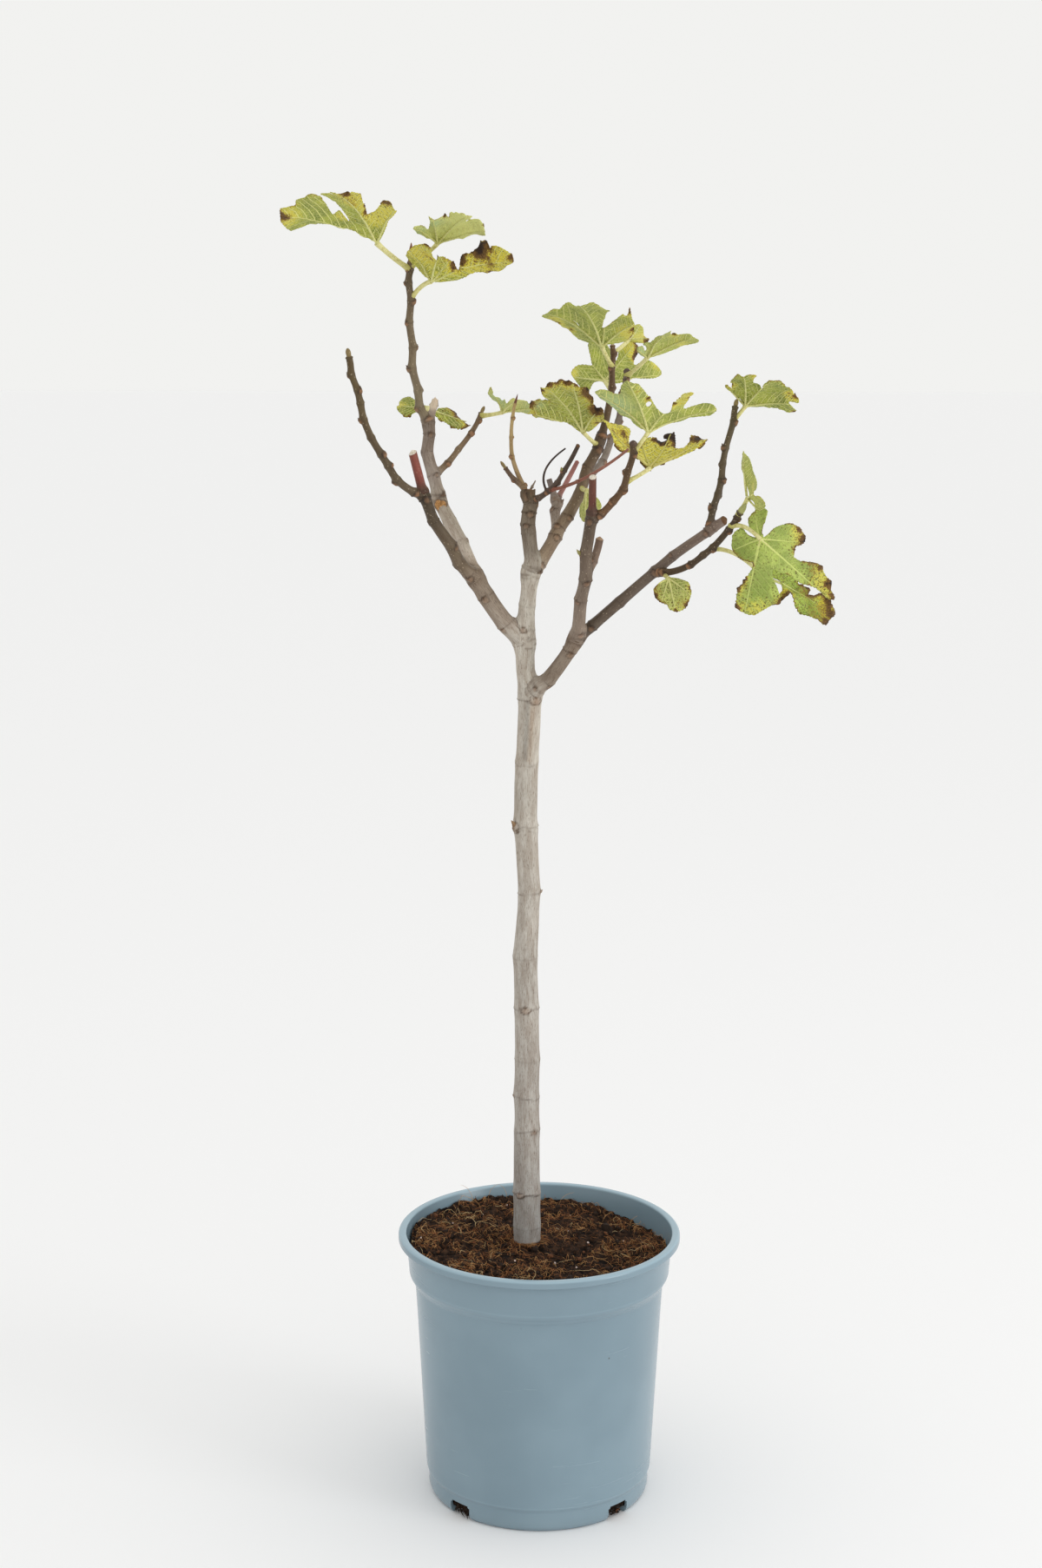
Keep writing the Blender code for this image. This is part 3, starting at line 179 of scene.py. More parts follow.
# Each leaf: limb and share that its stalk leaves, the stalk's reach, bow, and
# the ribs of its fan. The blade is a flat pattern in millimetres, with the
# stalk's end at 0,0 and the fan's middle upwards, laid over the ribs.
# A row's light is how strongly its blade is paled by a painted glow of light shining through it.
LEAVES = {
    "foliage_top_left_large": dict(
        limb="shoot_left_back", share=0.975, stalk=(-28, -20, 22), bow=0.10,
        ribs=[(-81, -20, 20), (-28, -75, 38), (19, -40, 25)],
        blade="0,-1 -5,5 -10,9 -18,17 -28,24 -36,29 -46,33 -57,33 -67,34 -68,41 -67,50 -61,63 -56,68 -52,68 -46,64 -41,71"
              " -34,70 -27,71 -23,64 -23,56 -24,46 -24,39 -20,40 -16,42 -15,39 -14,27 -12,33 -12,40 -13,50 -14,63 -16,74"
              " -9,74 -3,74 -1,83 3,82 5,79 10,81 12,80 14,76 20,82 21,77 21,68 17,56 14,46 9,33 11,31 16,32 22,37 29,43"
              " 36,50 38,45 36,38 35,29 32,25 25,20 17,13 9,5.5 3,0.5",
        spots="m8,66,8 m31,42,6 m-60,54,5 s8,66,12 s30,42,8 s-61,55,8 s12,30,6 b-61,57,6 b6,55,4.5 b12,76,4 b10,36,3.5 b35,47,4.5 b16,45,3 y-61,53,12 y17,70,14 y28,32,14 y-17,35,6 y13,24,10",
        turn=0.16, stalk_size=2.3, speckle=0.35, light=0.12),
    "foliage_top_left_small": dict(
        limb="shoot_left_back", share=0.985, stalk=(24, -6, 20), bow=0.06,
        ribs=[(-19, -30, 12), (-3, -45, 20), (29, -50, 23), (41, -25, 10)],
        blade="0,-1 -4,2 -9,5 -19,13 -24,22 -27,29 -23,30 -17,24 -12,20 -12,28 -14,38 -17,47 -13,43 -10,39 -5,42 -1,41 2,40"
              " 1,49 2,52 4,51 5,56 8,55 11,57 14,56 18,55 19,53 17,45 16,38 18,38 20,46 23,48 26,48 29,45 31,42 33,37"
              " 35,31 36,26 30,22 23,17 16,12 8,6 2,1",
        spots="y21,28,10 b-2,41,1.2 b32,41,1.2 p-10,33,8 p-21,19,8", turn=0.06, speckle=0.25, light=0.92),
    "foliage_top_left_folded": dict(
        limb="shoot_left_back", share=0.838, stalk=(19, -12, 16), bow=0.08,
        ribs=[(-18, -28, 26), (7, -50, 17), (45, -40, 32), (72, -15, 17)],
        blade="0,-2 -10,-4 -22,-4 -31,3 -34,20 -34,35 -30,47 -25,52 -20,48 -16,41 -13,50 -5,40 7,28 14,20 21,12 22,14 21,25"
              " 23,32 28,35 31,41 29,54 28,61 31,59 37,50 41,44 41,50 45,53 49,52 55,50 60,46 63,39 60,31 57,22 51,17 47,13"
              " 40,14 32,7 23,2 10,0",
        spots="m39,34,15 m-22,32,7 m12,26,8 s39,32,18 s-22,30,10 b30,48,6 b34,36,5 b45,30,3 b58,44,3 y-26,26,16 y39,32,18 b31,54,5 b33,42,5 b17,16,4 b22,23,4 b-16,33,2 b48,19,3 b62,32,2", turn=0.27, stalk_size=2.0, speckle=0.9, arch=0.22),
    "foliage_left_behind": dict(
        limb="shoot_left_back", share=0.12, stalk=(3, 24, 6), bow=0.06,
        ribs=[(-28, 10, 1), (-18, 22, 12), (23, 26, 4), (38, 12, -14)],
        blade="0,-1 -5,1 -16,-6 -21,-7 -27,-2 -29,4 -28,9 -29,16 -27,21 -23,21 -19,20 -12,12 -6,10 -1,16 2,6 8,6 9,9 10,16"
              " 15,22 21,24 27,24 30,20 34,16 38,10 42,9 38,1 32,-6 24,-7 17,-4 10,-3",
        spots="m28,14,9 s26,14,12 b24,24,8 b32,16,7 b39,8,4 y-27,8,6", turn=0.12, speckle=1.0),
    "foliage_middle_left": dict(
        limb="twig_left_back", share=0.985, stalk=(20, -1, 3), bow=0.06,
        ribs=[(-11, -20, 20), (12, -30, 10), (36, -18, 3)],
        blade="0,-1 -5,2 -10,4 -15,5 -20,8 -22,15 -23,23 -20,18 -16,12 -11,13 -7,11 -6,15 -3,10 -2,12 -2,18 -1,28 3,33 8,32"
              " 13,27 18,24 18,31 22,36 28,33 30,23 27,16 25,6 21,3 13,3 5,-1",
        spots="p25,24,12 p-10,10,10 y1,21,12", turn=0.12, speckle=0.2, light=0.62),
    "foliage_centre_large": dict(
        limb="bough_centre", share=0.955, stalk=(-14, -24, 13), bow=0.08,
        ribs=[(-50, -15, 15), (-34, -50, 41), (-11, -58, 42), (12, -34, 20)],
        blade="0,-1 -5,4 -10,11 -16,17 -24,23 -31,27 -34,32 -36,38 -31,41 -31,45 -26,49 -20,50 -16,47 -13,43 -13,49 -14,56"
              " -12,64 -8,69 -6,68 -3,71 1,74 4,72 5,69 9,72 11,70 11,65 15,66 19,67 20,63 23,59 26,58 27,53 25,47 24,41"
              " 25,37 22,31 23,26 28,27 29,24 27,18 22,8 12,2 4,-1",
        spots="m-26,46,6 m0,70,8 m24,50,6 m20,24,8 m-30,36,5 s10,62,10 s22,30,10 s-28,40,8 b-11,62,2.5 b0,72,2.5 b13,65,2.5 m26,50,12 b27,54,3 b25,40,3 m24,30,10 b24,24,3 b16,9,2.5 b-35,34,2.5 b-30,47,2.5 p-24,43,5", turn=0.2, speckle=0.8, light=0.14),
    "foliage_crown_top": dict(
        limb="shoot_centre", share=0.782, stalk=(-10, -17, 18), bow=0.08,
        ribs=[(-50, -25, 29), (-21, -65, 36), (6, -58, 32), (29, -28, 20)],
        blade="0,-2 -10,-3 -22,-2 -29,6 -36,13 -43,20 -47,27 -51,32 -47,39 -41,43 -35,43 -32,48 -28,53 -22,57 -18,58 -15,66"
              " -10,73 -6,74 0,74 2,71 5,67 8,63 10,60 13,61 9,53 7,43 5,36 3,26 2,21 7,24 12,27 16,32 20,39 23,42 25,39"
              " 28,42 30,53 30,46 30,36 31,26 30,13 28,2 20,-1 8,0",
        spots="m-44,24,5 m28,48,6 b-28,11,2.5 b-38,19,2 b29,14,4 b28,3,3 y24,13,12 y-41,28,7 y29,44,7", turn=0.05, speckle=0.2, light=0.22,
        holes=["-26,26 -22,23 -20,20 -21,20 -24,23 -26,25"]),
    "foliage_crown_back": dict(
        limb="shoot_centre", share=0.935, stalk=(15, 26, 11), bow=0.06,
        ribs=[(-12, 30, 14), (12, 38, 14), (26, 14, 4)],
        blade="0,-1 4,0 8,2 13,4 14,11 13,19 10,23 5,29 1,38 -5,43 -9,39 -14,39 -17,35 -19,28 -18,19 -14,10 -9,6 -4,2",
        spots="b14,9,3 b12,14,3 b9,22,2.5 y8,18,10", turn=0.22, speckle=0.2, light=0.18),
    "foliage_crown_right": dict(
        limb="bough_rear", share=0.985, stalk=(18, -19, 17), bow=0.06,
        ribs=[(-13, -16, 7), (16, -45, 24), (43, -25, 17)],
        blade="0,-1 -3,0 -7,3 -11,8 -12,15 -8,14 -4,8 -3,11 -7,16 -5,19 -1,18 0,22 1,24 1,31 2,37 5,39 7,44 9,44 11,47"
              " 12,40 16,33 18,34 21,35 26,37 30,38 33,35 37,31 40,30 40,24 37,21 31,17 25,12 19,8 12,3 6,-1",
        spots="b5,3,2 b17,34,2 y-2,11,5 y26,21,8 p-7,8,6", turn=0.06, speckle=0.2, light=0.3),
    "foliage_crown_rear": dict(
        limb="bough_rear", share=0.80, stalk=(-14, 16, 22), bow=0.05,
        ribs=[(-19, 8, -17), (-35, 0, 4), (-20, 8, 27), (22, 19, 26), (45, 17, 4)],
        blade="0,-2 -4,1 -10,2 -15,-1 -19,-4 -21,-2 -23,3 -24,11 -24,16 -23,21 -19,24 -14,25 -9,23 -5,20 -2,19 0,23 2,29"
              " 4,37 7,39 13,39 19,36 22,30 22,22 21,14 25,17 31,24 38,26 44,24 48,20 47,14 41,10 36,6 37,3 43,4 48,4 53,0"
              " 56,-6 56,-12 53,-15 45,-15 37,-12 28,-8 20,-7 12,-6 6,-4",
        spots="b48,20,4 b45,14,4 b40,10,3 y38,20,8 y-22,20,6 y54,-4,6", turn=0.06, speckle=0.1, light=0.15),
    "foliage_right_large": dict(
        limb="shoot_right_upright", share=0.93, stalk=(13, 2, 17), bow=0.08,
        ribs=[(-45, -15, 33), (-20, -50, 43), (31, -40, 34), (55, -15, 18)],
        blade="0,-1 -7,-2 -14,-1 -18,3 -26,2 -33,7 -40,13 -45,18 -48,23 -51,27 -46,30 -41,29 -35,28 -31,31 -31,37 -31,47"
              " -27,61 -23,61 -19,56 -14,52 -9,44 -5,37 -2,32 2,26 7,22 14,20 16,23 16,31 18,40 21,46 22,50 26,55 30,50"
              " 29,41 27,33 26,24 29,24 34,28 39,32 44,33 49,33 53,27 51,23 46,20 39,17 32,13 25,9 17,7 11,4 4,0",
        spots="s22,40,6 b-16,46,1.5 b-5,34,2 b18,32,2 b27,50,1.5 m28,40,4 y22,42,14 p-33,16,15", turn=0.04, speckle=0.15, light=0.18,
        holes=["-5,26 -3,25.5 -1.5,27 -1.5,29.5 -3,31 -5,30.5 -6,28.5"]),
    "foliage_right_yellow": dict(
        limb="shoot_right_upright", share=0.60, stalk=(21, 10, 11), bow=0.07,
        ribs=[(-38, 15, 38), (-6, 38, 26), (18, 34, 24), (46, 10, 24)],
        blade="0,-1 -4,3 -9,6 -13,8 -18,9 -24,8 -29,8 -35,14 -40,20 -44,27 -48,31 -50,33 -46,40 -39,44 -34,46 -26,51 -21,44"
              " -20,36 -19,28 -15,27 -11,32 -7,42 -2,46 0,48 3,47 7,44 11,46 8,49 8,53 11,55 16,53 17,44 17,34 22,31 26,32"
              " 29,37 32,44 36,45 38,43 41,38 46,34 46,25 42,19 37,16 30,13 24,11 17,9 10,8 3,4",
        spots="m-24,32,12 m-17,22,8 m20,40,8 m36,38,6 s-25,25,16 s25,25,18 d12,50,6 d7,43,5 d18,46,4 d40,36,6 b-42,40,4 b-36,28,3.5 b-27,38,3 b-17,19,4 y-20,25,16 y25,25,16", turn=0.36, speckle=1.0),
    "foliage_inner_small": dict(
        limb="bough_centre", share=0.66, stalk=(5, -22, -1), bow=0.05,
        ribs=[(-4, 4, -27), (1, -4, -33), (11, -7, -16)], lobes=(1.0, 1.0, 1.0), bay=0.80, flaps=(18, 24),
        spots="b4,24,2", turn=0.14, speckle=0.3, light=0.5),
    "foliage_far_right_top": dict(
        limb="shoot_right_long", share=0.93, stalk=(12, 9, 13), bow=0.07,
        ribs=[(-20, -10, 17), (-5, -40, 27), (16, -45, 21), (42, -18, 2)],
        blade="0,-1 -4,3 -11,6 -17,8 -24,15 -21,15 -17,13 -21,22 -20,30 -19,38 -18,43 -14,44 -11,48 -7,47 -3,47 -4,41 -3,34"
              " 1,35 4,35 7,32 6,38 7,47 9,53 13,51 18,51 22,46 26,43 30,40 34,35 37,29 40,29 41,25 36,23 33,21 38,16 43,9"
              " 43,3 39,3 33,5 25,5 18,1 11,0 3,-1",
        spots="s30,24,8 b36,30,2.5 b42,6,3 b-19,18,1.5 b30,33,2 y34,30,6 y-3,45,4", turn=0.05, speckle=0.4, light=0.05),
    "foliage_far_right_edge": dict(
        limb="bough_right_low", share=0.985, stalk=(8, -2, 15), bow=0.05,
        ribs=[(10, -14, -11), (6, -36, 9), (-6, -12, 39)],
        blade="0,-2 1,4 7,5 13,6 19,6 25,7 30,13 35,20 32,22 28,24 24,25 20,26 17,27 13,30 10,32 4,36 -1,34 0,22 -1,15 -4,16 -5,25"
              " -9,25 -15,21 -16,13 -12,2 -8,5 -4,4",
        spots="y2,24,6", turn=0.06, speckle=0.2, light=0.32),
    "foliage_far_right_low": dict(
        limb="bough_right_low", share=0.90, stalk=(24, -18, -9), bow=0.04, upper_in_front=True,
        ribs=[(-3, 13, 20), (-23, 14, -12), (-13, -9, -64), (60, 6, -53), (35, 16, -5)],
        blade="-1,-1 -3,1 -9,3 -14,3 -19,2 -21,5 -23,11 -20,17 -17,21 -9,22 -1,22 8,19 10,23 11,30 12,38 12,43 14,49 18,55"
              " 22,57 29,56 34,53 36,48 38,43 40,38 44,34 41,29 36,25 31,22 26,19 23,14 30,12 38,9 45,9 50,8 56,6 62,4 70,4"
              " 77,4 81,2 77,-1 73,-3 69,-7 63,-11 56,-13 51,-13 45,-9 39,-6 32,-5 29,-9 28,-13 31,-17 33,-23 31,-30"
              " 25,-32 18,-31 13,-28 9,-23 5,-16 3,-8 1,-3 -3,-10 -7,-16 -12,-22 -19,-20 -20,-16 -21,-11 -18,-5 -13,-2 -6,-1",
        spots="m68,-2,10 m30,-27,6 m52,-6,6 s28,-26,8 s62,-3,14 s30,48,10 b33,-23,3.5 b24,-31,2.5 b31,-11,3 b79,0,3 b70,-5,2.5 b12,43,2 b10,34,2 b43,31,2.5 b20,56,2 b56,-12,2 y26,-27,8 y64,-2,12 y33,48,10", turn=0.05, speckle=0.8, light=0.24, arch=0.3),
    "foliage_far_right_hanging": dict(
        limb="bough_right_low", share=0.68, stalk=(44, 8, -22), bow=0.05,
        ribs=[(7, 7, -27), (48, -2, -50), (53, 14, -29)],
        blade="0,-1 5,7 9,16 7,19 4,22 0,23 -4,26 0,27 6,28 6,32 5,40 5,47 10,54 13,61 15,69 20,68 31,68 37,65 38,60 40,55"
              " 40,51 35,46 28,44 24,40 29,38 27,34 25,30 23,28 25,24 27,18 22,9 12,3 4,0",
        spots="m30,60,12 m14,54,8 m22,34,9 s20,40,26 b30,66,6 b17,68,4 b40,56,4 b6,28,3 d-3,26,3 y34,58,10", turn=0.1, speckle=1.5, upper_in_front=True, light=0, arch=0.26),
    "foliage_under_right": dict(
        limb="bough_right_low", share=0.11, stalk=(4, -14, -4), bow=0.04,
        ribs=[(-16, -5, -7), (-7, -10, -20), (5, -13, -25), (17, -6, -12)],
        blade="0,-1 -6,3 -10,7 -12,11 -9,17 -5,21 1,23 2,26 7,28 12,27 17,22 20,13 20,8 17,2 11,0 7,-1",
        spots="m12,20,6 m-8,12,4 s8,14,16 b-10,16,1.5 b19,6,1.5 b18,21,1.8 b8,27,1.4", turn=0.04, speckle=0.9, light=0.28),
}
YOUNG_STALK, OLD_STALK = (222, 216, 152), (170, 162, 84)


# ------------------------------------------------------------------- helpers
def linear(*colour):
    """sRGB from 0 to 255 as linear RGB."""
    return tuple(((c / 255) / 12.92 if c <= 10.31 else ((c / 255 + 0.055) / 1.055) ** 2.4) for c in colour)


def lattice(cells, seed):
    i, j, k = (cells[:, n].astype(np.int64) for n in range(3))
    h = ((i * 73856093) ^ (j * 19349663) ^ (k * 83492791) ^ (seed * 977 + 131)) & 0xFFFFFFFF
    h = ((h ^ (h >> 13)) * 1274126177) & 0xFFFFFFFF
    h = ((h ^ (h >> 15)) * 668265263) & 0xFFFFFFFF
    return ((h >> 8) & 0xFFFF) / 32767.5 - 1.0


def noise(points, size, seed=0):
    """Smooth noise from -1 to 1 with bumps about size across."""
    q = np.asarray(points, float) / size
    base = np.floor(q)
    f = q - base
    f = f * f * (3.0 - 2.0 * f)
    total = np.zeros(len(q))
    for corner in range(8):
        step = np.array([(corner >> n) & 1 for n in range(3)])
        total += np.prod(np.where(step, f, 1.0 - f), axis=1) * lattice(base + step, seed)
    return total


def smooth(low, high, value):
    share = np.clip((np.asarray(value, float) - low) / (high - low), 0.0, 1.0)
    return share * share * (3.0 - 2.0 * share)


def unit(v):
    v = np.asarray(v, float)
    return v / np.maximum(np.linalg.norm(v, axis=-1, keepdims=True), 1e-9)


def bent(foot, knee, reach, t):
    t = np.asarray(t, float)[..., None]
    return foot + knee * (2.0 * t * (1.0 - t)) + reach * (t * t)


class Shape:
    """Vertices, faces and their looks, gathered before they become one mesh."""

    def __init__(self):
        self.points, self.faces, self.kinds = [], [], []
        self.at, self.corner = {}, {}
        self.count = 0

    def add(self, points, faces, kind=0, at=None, corner=None):
        first = self.count
        points = np.asarray(points, float)
        self.points.append(points)
        self.faces += [tuple(first + i for i in face) for face in faces]
        self.kinds += [kind] * len(faces) if isinstance(kind, int) else list(kind)
        for name, values in (at or {}).items():
            self.at.setdefault(name, []).append((first, np.asarray(values, float)))
        for name, values in (corner or {}).items():
            self.corner.setdefault(name, []).append((len(self.faces) - len(faces), len(faces), np.asarray(values, float)))
        self.count += len(points)
        return first

    def build(self, name, materials, node=None, smooth_shade=True, sharp=None):
        mesh = bpy.data.meshes.new(name)
        mesh.from_pydata((np.concatenate(self.points) / 1000.0).tolist(), [], self.faces)
        for mat in materials:
            mesh.materials.append(mat)
        mesh.polygons.foreach_set("material_index", self.kinds)
        for key, parts in self.at.items():
            width = parts[0][1].shape[1] if parts[0][1].ndim > 1 else 1
            full = np.zeros((self.count, width))
            for first, values in parts:
                full[first:first + len(values)] = values.reshape(len(values), width)
            if width == 1:
                mesh.attributes.new(key, "FLOAT", "POINT").data.foreach_set("value", full[:, 0])
            elif width == 3:
                mesh.attributes.new(key, "FLOAT_VECTOR", "POINT").data.foreach_set("vector", full.ravel())
            else:
                mesh.attributes.new(key, "FLOAT_COLOR", "POINT").data.foreach_set("color", full.ravel())
        starts = np.cumsum([0] + [len(f) for f in self.faces])
        for key, parts in self.corner.items():
            full = np.zeros((starts[-1], 2))
            for first, number, values in parts:
                full[starts[first]:starts[first + number]] = values
            mesh.uv_layers.new(name=key).data.foreach_set("uv", full.ravel())
        mesh.validate(clean_customdata=False)
        if smooth_shade:
            mesh.shade_smooth()
            if sharp:
                mesh.set_sharp_from_angle(angle=math.radians(sharp))
        obj = bpy.data.objects.new(name, mesh)
        bpy.context.scene.collection.objects.link(obj)
        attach(obj, "root")
        if node:
            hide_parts(*node)
        return obj


class Graph:
    """A material's nodes, added one after the other."""

    def __init__(self, name, roughness=0.8, specular=0.5):
        self.mat = bpy.data.materials.new(name)
        self.mat.use_nodes = True
        self.tree = self.mat.node_tree
        self.shader = self.tree.nodes["Principled BSDF"]
        self.shader.inputs["Roughness"].default_value = roughness
        self.shader.inputs["Specular IOR Level"].default_value = specular

    def node(self, kind, ins=None, **props):
        made = self.tree.nodes.new("ShaderNode" + kind)
        for key, value in props.items():
            setattr(made, key, value)
        for key, value in (ins or {}).items():
            self.feed(made.inputs[key], value)
        return made

    def feed(self, socket, value):
        if isinstance(value, bpy.types.NodeSocket):
            self.tree.links.new(value, socket)
        elif socket.type == "RGBA" and len(value) == 3:
            socket.default_value = (*value, 1.0)
        else:
            socket.default_value = value

    def sum(self, op, a, b=0.0, c=None, clamp=False):
        ins = {0: a, 1: b}
        if c is not None:
            ins[2] = c
        return self.node("Math", ins, operation=op, use_clamp=clamp).outputs[0]

    def mix(self, share, a, b, blend="MIX"):
        made = self.tree.nodes.new("ShaderNodeMix")
        made.data_type, made.blend_type = "RGBA", blend
        for index, value in ((0, share), (6, a), (7, b)):
            self.feed(made.inputs[index], value)
        return made.outputs[2]

    def at(self, name, output="Fac"):
        return self.node("Attribute", attribute_name=name).outputs[output]

    def uv(self, name):
        return self.node("SeparateXYZ", {0: self.node("UVMap", uv_map=name).outputs[0]}).outputs

    def scaled(self, vector, scale):
        return self.node("VectorMath", {0: vector, 1: scale}, operation="MULTIPLY").outputs[0]

    def noise(self, vector, scale=1.0, detail=2.0, rough=0.5):
        return self.node("TexNoise", {"Vector": vector, "Scale": scale, "Detail": detail, "Roughness": rough}).outputs[0]

    def cells(self, vector, scale=1.0, feature="F1", output="Distance", random=1.0):
        return self.node("TexVoronoi", {"Vector": vector, "Scale": scale, "Randomness": random}, feature=feature).outputs[output]

    def ramp(self, value, low, high, start=0.0, end=1.0):
        made = self.node("MapRange", {0: value, 1: low, 2: high, 3: start, 4: end}, interpolation_type="SMOOTHSTEP")
        return made.outputs[0]

    def finish(self, colour, roughness=None, height=None, depth=0.0003, strength=0.6):
        self.feed(self.shader.inputs["Base Color"], colour)
        if roughness is not None:
            self.feed(self.shader.inputs["Roughness"], roughness)
        if height is not None:
            bump = self.node("Bump", {"Strength": strength, "Distance": depth, "Height": height})
            self.tree.links.new(bump.outputs[0], self.shader.inputs["Normal"])
        return self.mat


# ----------------------------------------------------------------- materials
def bark(name, roughness, streak, pores, scar_tone):
    g = Graph(name, roughness, 0.35)
    grain = g.at("grain", "Vector")
    tone = g.at("tone", "Color")
    scar, dark = g.at("scar"), g.at("dark")
    long_streak = g.noise(g.scaled(grain, (1.5, 1.5, 0.075)), 1.0, 4.0, 0.65)
    fine_streak = g.noise(g.scaled(grain, (2.4, 2.4, 0.22)), 1.0, 3.0, 0.65)
    mottle = g.noise(g.scaled(grain, (0.20, 0.20, 0.05)), 1.0, 3.0, 0.55)
    speck = g.noise(g.scaled(grain, (1.5, 1.5, 1.1)), 1.0, 3.0, 0.65)
    colour = g.mix(g.ramp(mottle, 0.34, 0.68), g.mix(1.0, tone, linear(226, 220, 216), "MULTIPLY"), tone)
    colour = g.mix(g.sum("MULTIPLY", g.ramp(long_streak, 0.52, 0.74), streak), colour,
                   g.mix(1.0, colour, linear(196, 180, 164), "MULTIPLY"))
    colour = g.mix(g.sum("MULTIPLY", g.ramp(fine_streak, 0.54, 0.68), streak), colour,
                   g.mix(1.0, colour, linear(150, 132, 116), "MULTIPLY"))
    colour = g.mix(g.sum("MULTIPLY", g.ramp(speck, 0.56, 0.72), 0.45 * streak), colour,
                   g.mix(0.35, colour, linear(226, 218, 206)))
    pore = g.cells(g.scaled(grain, (0.42, 0.42, 0.26)))
    dot = g.ramp(pore, 0.10, 0.20, 1.0, 0.0)
    colour = g.mix(g.sum("MULTIPLY", dot, pores), colour, g.mix(0.50, colour, linear(206, 186, 158)))
    # dark holds node rings, scar rims and bud marks, and painted shade in the creases where limbs meet
    shade = g.sum("MULTIPLY", dark, g.ramp(speck, 0.25, 0.60, 0.55, 1.0), clamp=True)
    colour = g.mix(shade, colour, g.mix(1.0, colour, linear(128, 108, 92), "MULTIPLY"))
    worn = g.sum("MULTIPLY", scar, g.ramp(speck, 0.30, 0.60, 0.55, 1.0), clamp=True)
    colour = g.mix(worn, colour, g.mix(0.85, colour, linear(*scar_tone)))
    height = g.sum("MULTIPLY_ADD", long_streak, 0.9, g.sum("MULTIPLY_ADD", fine_streak, 0.6,
                   g.sum("MULTIPLY_ADD", dot, 0.5 * pores, g.sum("MULTIPLY", speck, g.sum("MULTIPLY_ADD", scar, 1.2, 0.3)))))
    return g.finish(colour, None, height, 0.00035, 0.7)


BARK = {"bark_old": bark("bark_old", 0.86, 0.85, 0.30, (146, 112, 84)),
        "bark_young": bark("bark_young", 0.50, 0.60, 0.85, (164, 118, 82)),
        "bark_red": bark("bark_red", 0.48, 0.45, 0.45, (150, 96, 70))}


def cut_wood():
    g = Graph("cut_wood", 0.9, 0.2)
    grain = g.at("grain", "Vector")
    tone = g.at("tone", "Color")
    fibre = g.noise(g.scaled(grain, (1.6, 1.6, 1.6)), 1.0, 4.0, 0.65)
    colour = g.mix(g.ramp(fibre, 0.42, 0.68), tone, g.mix(1.0, tone, linear(196, 168, 132), "MULTIPLY"))
    return g.finish(colour, None, fibre, 0.0005, 0.8)


CUT = cut_wood()


